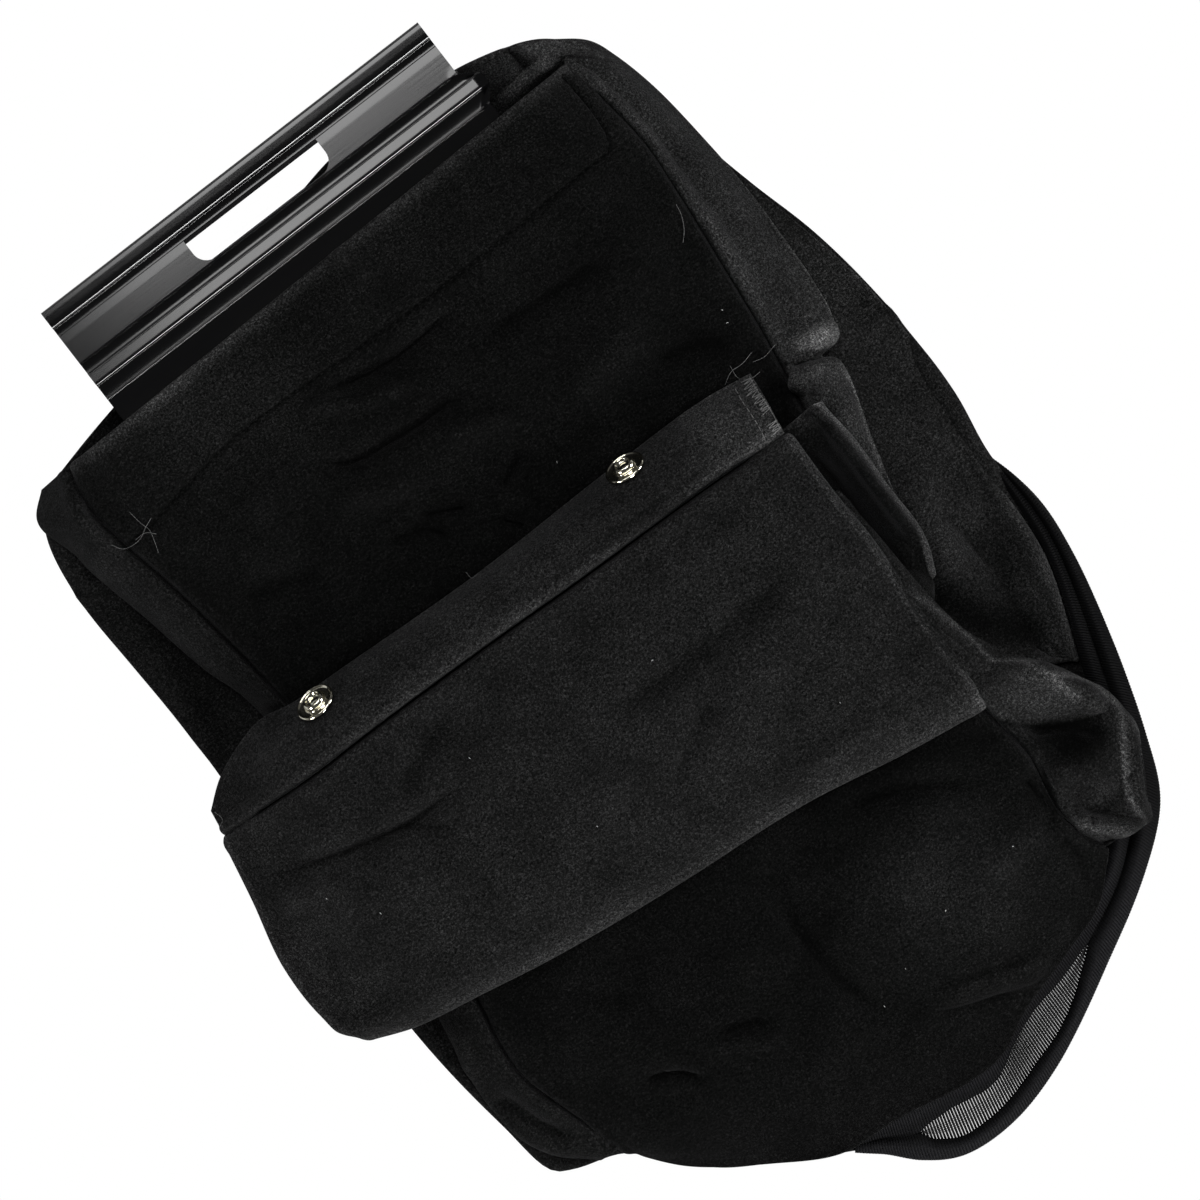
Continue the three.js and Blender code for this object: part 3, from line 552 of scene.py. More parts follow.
def mesh_object(name, verts_mm, quads):
    mesh = bpy.data.meshes.new(name)
    verts = np.asarray(verts_mm, float) * MM + SHIFT
    quads = np.asarray(quads, np.int32)
    mesh.vertices.add(len(verts))
    mesh.vertices.foreach_set("co", verts.astype(np.float32).ravel())
    mesh.loops.add(quads.size)
    mesh.loops.foreach_set("vertex_index", quads.ravel())
    mesh.polygons.add(len(quads))
    mesh.polygons.foreach_set("loop_start", np.arange(0, quads.size, quads.shape[1], dtype=np.int32))
    mesh.polygons.foreach_set("use_smooth", np.ones(len(quads), bool))
    mesh.update(calc_edges=True)
    mesh.validate()
    return add_object(name, mesh)


def welded_shell(name, points, faces, thickness, outward=1.0):
    """A closed sheet from quads whose coinciding points are joined first; outward is the share of its
    thickness that lies outside the points. Also returns which of the points were kept."""
    _, first, joined = np.unique(np.round(points, 3), axis=0, return_index=True, return_inverse=True)
    points, faces = points[first], joined.reshape(-1)[faces]
    faces = faces[[len(set(quad)) == 4 for quad in faces.tolist()]]
    normals = np.zeros_like(points)
    for corners in (faces[:, [0, 1, 2]], faces[:, [0, 2, 3]]):
        a, b, c = points[corners[:, 0]], points[corners[:, 1]], points[corners[:, 2]]
        for k in range(3):
            np.add.at(normals, corners[:, k], np.cross(b - a, c - a))
    normals /= np.maximum(np.linalg.norm(normals, axis=1, keepdims=True), 1e-9)
    edges = dict.fromkeys((quad[k - 1], quad[k]) for quad in faces.tolist() for k in (1, 2, 3, 0))
    count = len(points)
    wall = np.array([(e, s, s + count, e + count) for s, e in edges if (e, s) not in edges])
    piece = mesh_object(name, np.vstack([points + outward * thickness * normals,
                                         points - (1 - outward) * thickness * normals]),
                        np.concatenate([faces, faces[:, ::-1] + count, wall]))
    return piece, first


def spread(surface, step):
    """The grid of a surface at about one step of millimetres, finer towards its edges."""
    u, v = np.meshgrid(np.linspace(0, 1, 9), np.linspace(0, 1, 9))
    rough = surface(u, v)
    width = np.linalg.norm(np.diff(rough, axis=1), axis=-1).sum(1).max()
    height = np.linalg.norm(np.diff(rough, axis=0), axis=-1).sum(0).max()

    def crowded(length):
        t = np.linspace(0, 1, max(int(length / step), 6) + 1)
        return t - 0.65 * np.sin(2 * math.pi * t) / (2 * math.pi)

    u, v = np.meshgrid(crowded(width), crowded(height))
    return surface(u, v), u * width, (1 - u) * width, v * height, (1 - v) * height


# How a seam shows in the felt on both sides of its line, in millimetres
SEAM_DEPTH = 3.4
SEAM_WIDTH = 2.0
SEAM_SHADOW = 1.1
SWELL_HEIGHT, SWELL_AWAY, SWELL_WIDTH = 1.2, 7.0, 4.5
PUCKER_HEIGHT, PUCKER_PITCH, PUCKER_REACH = 0.9, 7.5, 11.0
CALM_EDGE = 22.0


def seam_relief(run, away, depth, seed):
    """The height of felt beside a seam: a groove, a swelling along it, and puckers as it runs on."""
    pucker = value_noise(run / PUCKER_PITCH, np.zeros_like(run) + seed, seed + 5)
    pucker = pucker * np.exp(-away / PUCKER_REACH) * ease(away, 0, 4)
    groove = depth * bell(away, SEAM_WIDTH)
    return PUCKER_HEIGHT * pucker - groove + SWELL_HEIGHT * bell(away - SWELL_AWAY, SWELL_WIDTH)


def felt_panel(node, surface, seams=(), curls=None, seed=1, rumpled=1.0, step=2.0, depth=SEAM_DEPTH,
               stitch=None, floor=None, rolls=None, painted_edge_sheen=None):
    """One felt panel: seams sink into their grooves, slack felt is uneven, and folded edges curl under.

    By side of the panel, curls holds the radius of a curl, rolls the width and height of a swelling, and
    painted_edge_sheen the width of a painted highlight along an edge and how much lighter it is.
    """
    p, left, right, top, bottom = spread(surface, step)
    n = grid_normals(p)
    painted_shading, steady = np.ones(p.shape[:2]), np.zeros(p.shape[:2])
    away = {"left": left, "right": right, "top": top, "bottom": bottom}
    nearest = np.minimum(np.minimum(left, right), np.minimum(top, bottom))
    lift = rumple(p, seed, rumpled) * ease(nearest, 0, CALM_EDGE)
    for side in seams:
        d = away[side]
        upright = side in ("left", "right")
        lift += seam_relief(p[..., 1] if upright else p[..., 0], d, depth, seed)
        # Painted shade in the seam's groove, and painted light on the swelling beside it
        painted_shading *= (1 + 0.4 * bell(d - 4.5, 3)) * (1 - 0.94 * bell(d, SEAM_SHADOW))
        ends = np.minimum(top, bottom) if upright else np.minimum(left, right)
        steady = np.maximum(steady, bell(d, 6) * ease(ends, 14, 36))
    for side, (width, height) in (rolls or {}).items():
        lift += height * bell(away[side] - width, 0.7 * width)
    # Painted highlights along the listed edges, standing in for fibres that catch the light there
    for side, (width, gain) in (painted_edge_sheen or {}).items():
        painted_shading *= 1 + gain * bell(away[side], width)
    lift += crease_lift(p, node) * ease(nearest, -1, 5)
    if stitch is not None:
        sunk = bell(away_from(p, stitch, 10)[0], 2.2)
        lift -= 1.5 * sunk
        # Painted shade along the sunk stitch line
        painted_shading *= 1 - 0.75 * sunk ** 2
    p = p + lift[..., None] * n
    if floor is not None:
        p[..., 2] = np.maximum(p[..., 2], floor)
    for side, radius in (curls or {}).items():
        p = curled(p, side, radius)
        rows = {"top": (CURL_ROWS, 0), "bottom": (0, CURL_ROWS)}.get(side, (0, 0))
        columns = {"left": (CURL_ROWS, 0), "right": (0, CURL_ROWS)}.get(side, (0, 0))
        painted_shading = np.pad(painted_shading, (rows, columns), mode="edge")
        n = np.pad(n, (rows, columns, (0, 0)), mode="edge")
        steady = np.pad(steady, (rows, columns))
    # Beside a seam the two panels grow thick in the same direction, so that their edges stay side by side
    outward = grid_normals(p) * (1 - steady[..., None]) + n * steady[..., None]
    outward /= np.linalg.norm(outward, axis=-1, keepdims=True)
    piece = shell("felt_" + node.removesuffix("_panel"), p, FELT, outward=outward)
    # The piece carries its painted light and shade, one value per point, for its material to multiply into
    # the colour
    set_painted_shading(piece, np.tile((painted_shading_of(p, node) * painted_shading).ravel(), 2))
    finish_piece(piece, node, FELT_MATERIAL)
    declare_sheet(p)
    return piece


def finish_piece(piece, node, material):
    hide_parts(node)
    piece.data.materials.append(material)
    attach(piece, "root")


def plain_sheet(name, node, surface, thickness):
    """A hidden layer of felt, without seams or creases."""
    p, *_ = spread(surface, 4)
    piece = shell(name, p, thickness)
    set_painted_shading(piece, np.ones(len(piece.data.vertices)))
    finish_piece(piece, node, FELT_MATERIAL)
    declare_sheet(p)


def declare_sheet(p):
    """Measures a piece's surface along the cloth, across and down, in metres; the sizes are not used."""
    across = np.linalg.norm(np.diff(p, axis=1), axis=-1).sum(1).max() * MM
    down = np.linalg.norm(np.diff(p, axis=0), axis=-1).sum(0).max() * MM


# Materials

def greys(*stops):
    return [(place, (level, level, level)) for place, level in stops]


def set_inputs(links, node, values):
    """Gives a node its inputs, each as a plain value or as the output of another node."""
    for name, value in values.items():
        if isinstance(value, bpy.types.NodeSocket):
            links.new(value, node.inputs[name])
        else:
            node.inputs[name].default_value = value


class Look:
    """A material in the making: each method adds a node and returns its output."""

    def __init__(self, name):
        self.material = bpy.data.materials.new(name)
        self.material.use_nodes = True
        self.nodes = self.material.node_tree.nodes
        self.links = self.material.node_tree.links
        self.place = self.nodes.new("ShaderNodeTexCoord").outputs["Object"]

    def add(self, kind, output, values, **settings):
        node = self.nodes.new("ShaderNode" + kind)
        for name, value in settings.items():
            setattr(node, name, value)
        set_inputs(self.links, node, values)
        return node.outputs[output]

    def noise(self, scale, detail, roughness=0.6, distortion=0.0, place=None):
        return self.add("TexNoise", "Fac", {"Scale": scale, "Detail": detail, "Roughness": roughness,
                                            "Distortion": distortion, "Vector": place or self.place})

    def ramp(self, source, stops):
        node = self.nodes.new("ShaderNodeValToRGB")
        elements = node.color_ramp.elements
        while len(elements) < len(stops):
            elements.new(0.5)
        for element, (place, color) in zip(elements, stops):
            element.position = place
            element.color = (*color, 1)
        self.links.new(source, node.inputs["Fac"])
        return node.outputs["Color"]

    def multiplied(self, first, second):
        return self.add("Mix", "Result", {"Factor": 1.0, "A": first, "B": second},
                        data_type="RGBA", blend_type="MULTIPLY")

    def by_painted_shading(self, color):
        """A colour scaled by the painted light and shade that each point of a piece carries."""
        painted_shading = self.add("Attribute", "Fac", {}, attribute_name="painted_shading")
        return self.add("VectorMath", "Vector", {"Vector": color, "Scale": painted_shading}, operation="SCALE")

    def bump(self, height, strength, distance, before=None):
        values = {"Strength": strength, "Distance": distance, "Height": height}
        if before is not None:
            values["Normal"] = before
        return self.add("Bump", "Normal", values)

    def finished(self, **values):
        """The material, whose shader gets these inputs; an underscore stands for a space."""
        named = {name.replace("_", " "): value for name, value in values.items()}
        set_inputs(self.links, self.nodes["Principled BSDF"], named)
        return self.material


def felt_material():
    """Black napped felt: clumped fibres, faint lighter fibre flecks and a soft sheen at grazing angles."""
    look = Look("black_felt")
    clumps = look.noise(820, 4, 0.75, 0.8)
    fibres = look.noise(2200, 3, 0.7, 1.5)
    tone = look.ramp(clumps, greys((0.36, 0.0009), (0.52, 0.0056), (0.68, 0.026)))
    cloudy = look.ramp(look.noise(26, 4), greys((0.3, 0.7), (0.7, 1.3)))
    flecks = look.ramp(fibres, greys((0.36, 0.45), (0.66, 1.85)))
    color = look.by_painted_shading(look.multiplied(look.multiplied(tone, cloudy), flecks))
    bump = look.bump(fibres, 0.6, 0.0004, look.bump(clumps, 0.6, 0.0012))
    return look.finished(Base_Color=color, Roughness=0.95, Specular_IOR_Level=0.03, Sheen_Weight=0.045,
                         Sheen_Roughness=0.3, Sheen_Tint=(0.8, 0.8, 0.82, 1), Normal=bump)


def ribbed_material():
    """Black satin woven cloth; the cross ribs themselves are modelled."""
    look = Look("ribbed_cloth")
    yarn = look.noise(900, 3)
    tone = look.ramp(yarn, [(0.3, (0.004, 0.004, 0.0046)), (0.75, (0.012, 0.012, 0.0132))])
    return look.finished(Base_Color=look.by_painted_shading(tone), Roughness=0.55, Specular_IOR_Level=0.04,
                         Sheen_Weight=0.01, Sheen_Roughness=0.3, Normal=look.bump(yarn, 0.4, 0.0002))


def plastic_material():
    """Gloss black plastic with faint draw lines, dust and scuffs."""
    look = Look("gloss_black_plastic")
    drawn = look.add("Mapping", "Vector", {"Scale": (0.03, 1, 1), "Vector": look.place})
    lines = look.noise(700, 3, place=drawn)
    scuffs = look.noise(260, 8, 0.75, 2.0)
    tone = look.ramp(scuffs, [(0.66, (0.0012, 0.0012, 0.0014)), (0.74, (0.02, 0.02, 0.021)),
                              (0.82, (0.06, 0.06, 0.06))])
    rough = look.add("MapRange", "Result", {"To Min": 0.07, "To Max": 0.14, "Value": look.noise(30, 4)})
    return look.finished(Base_Color=tone, Roughness=rough, Normal=look.bump(lines, 0.05, 0.0001))


def metal_material():
    """Bright nickel plate with a warm tinge and small pits."""
    look = Look("nickel")
    tone = look.ramp(look.noise(90, 2, 0.5), [(0.35, (0.62, 0.6, 0.52)), (0.65, (0.78, 0.74, 0.6))])
    return look.finished(Base_Color=tone, Metallic=1.0, Roughness=0.07,
                         Normal=look.bump(look.noise(800, 3), 0.15, 0.0002))


def thread_material(name, dark, light):
    look = Look(name)
    tone = look.ramp(look.noise(1800, 2, 0.5), greys((0.35, dark), (0.65, light)))
    return look.finished(Base_Color=tone, Roughness=0.8, Specular_IOR_Level=0.15)


FELT_MATERIAL = felt_material()
RIBBED = ribbed_material()
PLASTIC = plastic_material()
NICKEL = metal_material()
BLACK_THREAD = thread_material("black_thread", 0.001, 0.004)
GREY_THREAD = thread_material("grey_thread", 0.05, 0.2)
LINT = thread_material("white_lint", 0.2, 0.5)


# Camera, floor and light

def camera():
    data = bpy.data.cameras.new("camera")
    data.lens = LENS
    data.sensor_width = SENSOR
    distance = FRAME_MM * MM * LENS / SENSOR
    data.clip_start, data.clip_end = 0.1, distance * 4
    eye = add_object("camera", data)
    turn = Matrix(((TURN_COS, TURN_SIN, 0), (-TURN_SIN, TURN_COS, 0), (0, 0, 1))).to_4x4()
    eye.matrix_world = Matrix.Translation((SHIFT[0], SHIFT[1], distance + BAG_MIDDLE)) @ turn
    bpy.context.scene.camera = eye


def floor():
    bpy.ops.mesh.primitive_plane_add(size=FLOOR_SIZE, location=(0, 0, -FLOOR_DROP))
    plane = bpy.context.object
    plane.name = "floor"
    material = bpy.data.materials.new("floor_white")
    material.use_nodes = True
    nodes, links = material.node_tree.nodes, material.node_tree.links
    nodes.clear()
    out = nodes.new("ShaderNodeOutputMaterial")
    plain = nodes.new("ShaderNodeBsdfDiffuse")
    white = nodes.new("ShaderNodeEmission")
    path = nodes.new("ShaderNodeLightPath")
    mix = nodes.new("ShaderNodeMixShader")
    set_inputs(links, plain, {"Color": (0.45, 0.45, 0.45, 1)})
    set_inputs(links, white, {"Color": (1, 1, 1, 1), "Strength": 1.0})
    links.new(path.outputs["Is Camera Ray"], mix.inputs["Fac"])
    links.new(plain.outputs["BSDF"], mix.inputs[1])
    links.new(white.outputs["Emission"], mix.inputs[2])
    links.new(mix.outputs["Shader"], out.inputs["Surface"])
    plane.data.materials.append(material)


def area_light(name, place, aim, size, power):
    data = bpy.data.lights.new(name, "AREA")
    data.shape = "RECTANGLE"
    data.size, data.size_y = size
    data.energy = power
    lamp = add_object(name, data)
    lamp.location = place
    lamp.rotation_mode = "QUATERNION"
    lamp.rotation_quaternion = (Vector(aim) - Vector(place)).to_track_quat("-Z", "Y")


def in_view(right, up, height):
    """A place given by the photograph's own right and up directions, in metres."""
    return TURN_COS * right + TURN_SIN * up, -TURN_SIN * right + TURN_COS * up, height


def lights():
    world = bpy.data.worlds.new("studio")
    world.use_nodes = True
    tree = world.node_tree
    set_inputs(tree.links, tree.nodes["Background"], {"Color": (1, 1, 1, 1), "Strength": 0.08})
    bpy.context.scene.world = world
    area_light("key_low_right", in_view(1.6, -1.7, 0.95), (0, 0, 0), (0.9, 0.7), 70)
    area_light("right", in_view(2.4, 0.9, 1.0), (0, 0, 0), (0.9, 0.8), 42)
    area_light("low_left", in_view(-1.7, -1.7, 1.1), (0, 0, 0), (0.9, 0.7), 42)
    area_light("mouth_side", (0.05, 2.0, 1.6), (0, 0.2, 0), (2.0, 0.7), 22)
    area_light("ceiling_card", (0.74, 1.45, 3.2), (0.74, 1.45, 0), (1.78, 1.2), 44)


# The bag's panels

FRONT_LEFT_SEAM = [(-203, 258, 22), (-209, 232, 30), (-206, 205, 34), (-199, 170, 34),
                   (-192, 120, 31), (-187, 70, 26), (-181, 0, 22), (-176, -62, 20)]
FRONT_RIGHT_SEAM = [(181, 267, 22), (185, 240, 33), (189, 200, 37), (186, 160, 38),
                    (181, 115, 35), (175, 65, 30), (164, 0, 24), (152, -62, 22)]
HEM_STITCH = [(-207, 199), (-180, 201), (-150, 206), (-110, 211), (-30, 208), (50, 206), (150, 209),
              (168, 210), (172, 216), (174, 235), (173, 262)]


def upper_front():
    folds = [
        ((-120, 170), (20, 120), 16, 3), ((-90, 120), (0, 105), 12, -3), ((-40, 185), (110, 180), 12, -2.5),
        ((60, 100), (150, 150), 18, 3), ((-150, 95), (-110, 150), 14, -3),
    ]
    crest = [MOUTH_HEIGHT, MOUTH_HEIGHT, CROWN_HEIGHT, CROWN_HEIGHT - 1,
             CROWN_HEIGHT * 0.6 + WAIST_HEIGHT * 0.4, WAIST_HEIGHT + 4, WAIST_HEIGHT + 1, WAIST_HEIGHT]
    surface = pillow(patch(FRONT_LEFT_SEAM, FRONT_RIGHT_SEAM), crest, [0.08, 0.12, 0.2, 0.26, 0.3], folds)
    return felt_panel("upper_front_panel", surface, seams=("left", "right"), seed=11,
                      rumpled=0.8, stitch=HEM_STITCH, painted_edge_sheen={"top": (7, 3.4)})


def pocket_facing():
    surface = patch([(-164, 250, 41), (-166, 205, 41)], [(142, 254, 41), (146, 208, 41)])
    plain_sheet("felt_pocket_facing", "handle_pocket_facing", surface, FACING)


def upper_left_gusset():
    outer = above(ON_BACK, [(-224, 257), (-238, 243), (-231, 215), (-224, 183), (-216, 147), (-205, 98),
                            (-198, 40), (-192, -62)])
    surface = swollen(patch(outer, shifted(FRONT_LEFT_SEAM, -SEAM_GAP)), 6)
    return felt_panel("upper_left_gusset", surface, seams=("right",), seed=21,
                      rumpled=0.7, step=1.4, floor=ON_BACK, painted_edge_sheen={"left": (1.6, 0.8)})


def upper_right_gusset():
    outer = above(ON_BACK, [(179, 286, 12), (199, 270, 6), (206, 254, 2), (213, 225, 1), (218, 180, 2),
                            (220, 148, 5), (220, 110, 7), (218, 72, 7), (213, 48, 8), (196, 37, 10),
                            (200, 18, 11), (196, 0, 12), (187, -28, 15), (180, -55, 19)])
    folds = [((168, 52), (214, 42), 9, -2.5), ((176, 30), (196, 20), 8, 3), ((180, 90), (214, 100), 14, -2)]
    surface = pillow(patch(shifted(FRONT_RIGHT_SEAM, SEAM_GAP), outer),
                     [20, 24, 26, 26, 26, 25, 22, 24, 24, 23, 23], [0.5, 0.5, 0.5, 0.5], folds)
    return felt_panel("upper_right_gusset", surface, seams=("left",), seed=31,
                      rumpled=0.9, step=1.2, painted_edge_sheen={"right": (1.6, 1.6)})


def right_side():
    inner = [(214, 140, 6.5), (203, 85, 7), (186, 40, 8), (168, 0, 12), (160, -40, 15), (150, -100, 19),
             (147, -172, 24)]
    outer = above(ON_BACK, [(223, 146), (234, 100), (243, 50), (243, -20), (232, -75), (227, -140),
                            (205, -205)])
    return felt_panel("right_side_panel", patch(inner, outer), seed=41, rumpled=1.2,
                      step=1.4, floor=ON_BACK, painted_edge_sheen={"right": (1.6, 1.3)})


def back():
    mouth = [(-160, 271), (-60, 290), (1, 303), (40, 310), (90, 309), (137, 303), (175, 290)]
    right = [(197, 271), (213, 228), (219, 175), (226, 142), (238, 95), (245, 40), (245, -30), (239, -72),
             (238, -110), (232, -145), (222, -175), (209, -212), (200, -250), (186, -286)]
    bottom = [(-60, -353), (-25, -351), (15, -354), (60, -342), (110, -325), (150, -306)]
    left = [(-203, 259), (-225, 255), (-240, 235), (-248, 195), (-245, 90), (-248, 0), (-247, -150),
            (-240, -215), (-233, -254), (-221, -262), (-195, -271), (-178, -284), (-155, -312), (-125, -332),
            (-80, -357)]
    edges = [above(0, edge) for edge in (left, right, mouth, bottom)]
    p, to_left, to_right, to_top, _ = spread(patch(*edges), 4)
    nearest = np.minimum(np.minimum(to_left, to_right), to_top)
    wave = 0.5 + 0.5 * value_noise(p[..., 0] / 30, p[..., 1] / 30, 52)
    p[..., 2] += 2.2 * wave * bell(nearest, 9) + crease_lift(p, "back_panel")
    # Towards its right end, the back's edge at the mouth stands up
    mouth_end = ease(p[..., 0], 40, 150)
    p[..., 2] += (5 + 24 * mouth_end) * bell(to_top, 34) * ease(p[..., 1], 200, 262)
    p[..., 2] = np.maximum(p[..., 2], 0)
    piece = shell("felt_back", p, FELT)
    # The back's painted light and shade, from its listed level, spots and crease valleys and ridges
    set_painted_shading(piece, np.tile(painted_shading_of(p, "back_panel").ravel(), 2))
    finish_piece(piece, "back_panel", FELT_MATERIAL)
    declare_sheet(p)
    return piece


LOWER_LEFT_SEAM = [(-178, -66, 20), (-196, -110, 24), (-206, -150, 26), (-212, -195, 24),
                   (-201, -235, 18), (-192, -268, ON_BACK + 3)]
LOWER_RIGHT_SEAM = [(149, -66, 22), (141, -120, 28), (142, -187, 36), (146, -230, 36), (140, -272, 30),
                    (150, -305, 16)]


def lower_front():
    edge = [(-165, -302, ON_BACK + 1), (-125, -331, ON_BACK + 1), (-88, -352, ON_BACK + 2), (-50, -356, 10),
            (0, -365, 11), (25, -364, 11), (50, -352, 11.5), (90, -340, 12), (125, -328, 12)]
    folds = [
        ((-18, -200), (-15, -310), 18, -7), ((70, -235), (90, -290), 42, 7),
        ((-110, -230), (-60, -265), 20, -3), ((0, -316), (70, -331), 6, 2.5),
        ((70, -331), (115, -325), 6, 2.5), ((-190, -215), (-150, -260), 9, -2),
    ]
    surface = pillow(patch(LOWER_LEFT_SEAM, LOWER_RIGHT_SEAM, bottom=edge),
                     [WAIST_HEIGHT, WAIST_HEIGHT + 2, LOWER_CROWN_HEIGHT - 6, LOWER_CROWN_HEIGHT, 36, 12],
                     [0.2, 0.3, 0.35, 0.35], folds)
    return felt_panel("lower_front_panel", surface, seams=("left", "right"), seed=61, step=2.2)


def lower_left_gusset():
    outer = above(ON_BACK, [(-200, -66), (-222, -110), (-232, -160), (-237, -205), (-229, -240),
                            (-204, -266)])
    surface = swollen(patch(outer, shifted(LOWER_LEFT_SEAM, -SEAM_GAP)), 5)
    return felt_panel("lower_left_gusset", surface, seams=("right",), seed=71,
                      rumpled=0.7, step=1.4, floor=ON_BACK, painted_edge_sheen={"left": (1.5, 0.8)})


def lower_right_gusset():
    seam = [(147.4, -35, 62), (148.2, -70, 63), (144.8, -110, 58), (143.4, -150, 50), (143.2, -187, 41),
            (147, -230, 37), (141.2, -272, 31), (151.6, -303, 18)]
    outer = [(152, -35, 60), (154, -70, 60), (156, -110, 54), (162, -150, 44), (180, -183, 34),
             (206, -228, 18), (203, -268, 12), (181, -307, 12)]
    folds = [
        ((152, -212), (195, -236), 8, -6), ((160, -250), (200, -255), 9, 4),
        ((150, -285), (190, -275), 7, -3), ((168, -195), (190, -205), 6, 2.5),
        ((160, -265), (178, -300), 5, 2.5),
    ]
    raised = pillow(patch(seam, outer), [61, 62, 57, 50, 42, 34, 26, 18], [0.5, 0.5], folds)

    def surface(u, v):
        p = raised(u, v)
        p[..., 2] -= 15 * (1 - ease(v, 0.03, 0.24))
        return p

    return felt_panel("lower_right_gusset", surface, seams=("left",), seed=81,
                      rumpled=1.1, step=1.1, painted_edge_sheen={"right": (1.3, 0.8)})


SLEEVE_TOP_SEAM = above(SLEEVE_ROOF, [(-240, 24, -32), (-200, 21.5, -12), (-150, 21), (-70, 19, 4),
                                      (0, 16, 5), (80, 14, 3)])
LIP_RISE = 9.8


def sleeve_front():
    left = [(-264, 25, 18), (-272, -15, 16), (-282, -60, 14), (-281, -100, 14), (-271, -121, 15)]
    right = above(SLEEVE_ROOF, [(147, 10), (146, -40, 1), (147, -70, 1), (143, -120, -7), (142, -187, -22)])
    fold = [(-247, -130, 24), *above(SLEEVE_FLOOR, [(-200, -139, 4), (-150, -148, 11), (-70, -158, 14),
                                                    (20, -166, 14), (90, -179, 12)])]
    folds = [((-255, -18), (-160, -42), 10, -4), ((-250, -45), (-170, -75), 12, 3),
             ((40, -90), (130, -40), 20, 2)]
    surface = pillow(patch(left, right, SLEEVE_TOP_SEAM, fold),
                     [SLEEVE_ROOF + 4, SLEEVE_ROOF + 8, SLEEVE_ROOF + 9, SLEEVE_ROOF + 7, SLEEVE_ROOF,
                      SLEEVE_FLOOR + 14],
                     [0.45, 0.4, 0.4, 0.45], folds)
    return felt_panel("sleeve_front_panel", surface, seams=("top",), seed=91,
                      rumpled=0.9, curls={"bottom": 5.0, "left": 2.6, "right": 2.4},
                      rolls={"bottom": (16, 4.5), "right": (8, 1.6)},
                      painted_edge_sheen={"bottom": (5, 0.8), "right": (1.6, 1.1), "left": (1.6, 0.8)})


def sleeve_back():
    low = SLEEVE_FLOOR - 0.7
    lip = low + LIP_RISE
    left = [(-258, 20, 8), (-266, -20, 7), (-272, -60, 6), (-270, -95, 6), (-262, -114, 7)]
    right = above(lip, [(174, 14, 1), (177, -15), (176, -50), (175, -85), (165, -112)])
    top = above(low, [(-200, 17), (-100, 16, 4), (0, 14, 4), (100, 13, 4), (150, 14, 8)])
    bottom = above(low, [(-200, -128, -2), (-120, -138, 3.5), (-30, -148, 5.5), (60, -156, 6),
                         (125, -155, 8)])
    surface = pillow(patch(left, right, top, bottom),
                     [low + 4, low + 2, low + 1.6, low + 2.2, low + 3.8, low + 5.8], [0.3, 0.3])
    return felt_panel("sleeve_back_panel", surface, seed=101, rumpled=0.3, curls={"right": 2.0},
                      painted_edge_sheen={"right": (1.9, 8.0), "top": (3, 1.5)})


def band_surface():
    left = [(-262, 42, 14), (-264, 27, 17)]
    right = [(154, 51, SLEEVE_FLOOR + 6), (152, 35, SLEEVE_ROOF - 6), (148, 12, SLEEVE_ROOF + GAP)]
    top = [(-242, 56, 20), (-205, 67, 30), (-185, 63, 33),
           *above(SLEEVE_FLOOR, [(-150, 61, 3), (-50, 56, 8), (50, 57, 8), (120, 56, 7)])]
    bottom = [(x, y + 1, z + GAP) for x, y, z in SLEEVE_TOP_SEAM]
    return pillow(patch(left, right, top, bottom),
                  [SLEEVE_FLOOR + 8.6, SLEEVE_ROOF - 9, SLEEVE_ROOF, SLEEVE_ROOF + 5, SLEEVE_ROOF + 7,
                   SLEEVE_ROOF + 6, SLEEVE_ROOF + 5],
                  [0.4, 0.36, 0.3])


def snap_band():
    return felt_panel("snap_band", band_surface(), seams=("bottom",), seed=111,
                      rumpled=0.35, step=1.6, depth=2.4, painted_edge_sheen={"top": (1.5, 0.7), "left": (1.5, 0.7)})


def socket_band():
    left = [(-176, 47, 3.5), (-177, 21, 1.5)]
    right = [(132, 46, 5.6), (133, 18, 2.6)]
    top = [(-100, 47, 7.7), (0, 46, 7.7), (80, 46, 7.1)]
    bottom = [(-100, 20, 4.5), (0, 18.5, 4.1), (80, 18, 3.5)]
    surface = patch(*(above(SLEEVE_FLOOR, edge) for edge in (left, right, top, bottom)))
    plain_sheet("felt_socket_band", "socket_band", surface, FELT)


# The ribbed rim and its window

RIM_OUTER = above(0, [(-82, -357, ON_BACK), (-68, -368, 1), (-52, -385), (-30, -398), (5, -400),
                      (45, -390), (110, -358), (160, -329), (192, -302), (210, -265), (228, -210),
                      (242, -150), (245, -112, 1), (236, -69, ON_BACK)])
RIM_INNER = above(RIM_RISE, [(-76, -350, -4), (-62, -348, -2), (-40, -349), (-15, -353), (15, -358),
                             (50, -345), (100, -330), (140, -313), (163, -292, -0.5), (186, -258, -1.5),
                             (203, -215, -2), (229, -145, -2), (234, -110, -2), (235, -70, -2)])

# The rim's length along its middle, its ribs, and the net of its window, whose edges are in photograph pixels
RIM_LENGTH = 565.0
RIB_PITCH = 1.9
RIB_HEIGHT = 0.36
NET_PITCH = 2.0
NET_BAR = 0.8
NET_THREAD = 0.17
WINDOW_TIP = 0.02
WINDOW_LOW = [(915, 1135), (930, 1140), (963, 1138), (1002, 1111), (1038, 1065), (1070, 1015), (1093, 936)]
WINDOW_HIGH = [(915, 1135), (949, 1111), (995, 1083), (1016, 1040), (1038, 1006), (1059, 983), (1093, 936)]


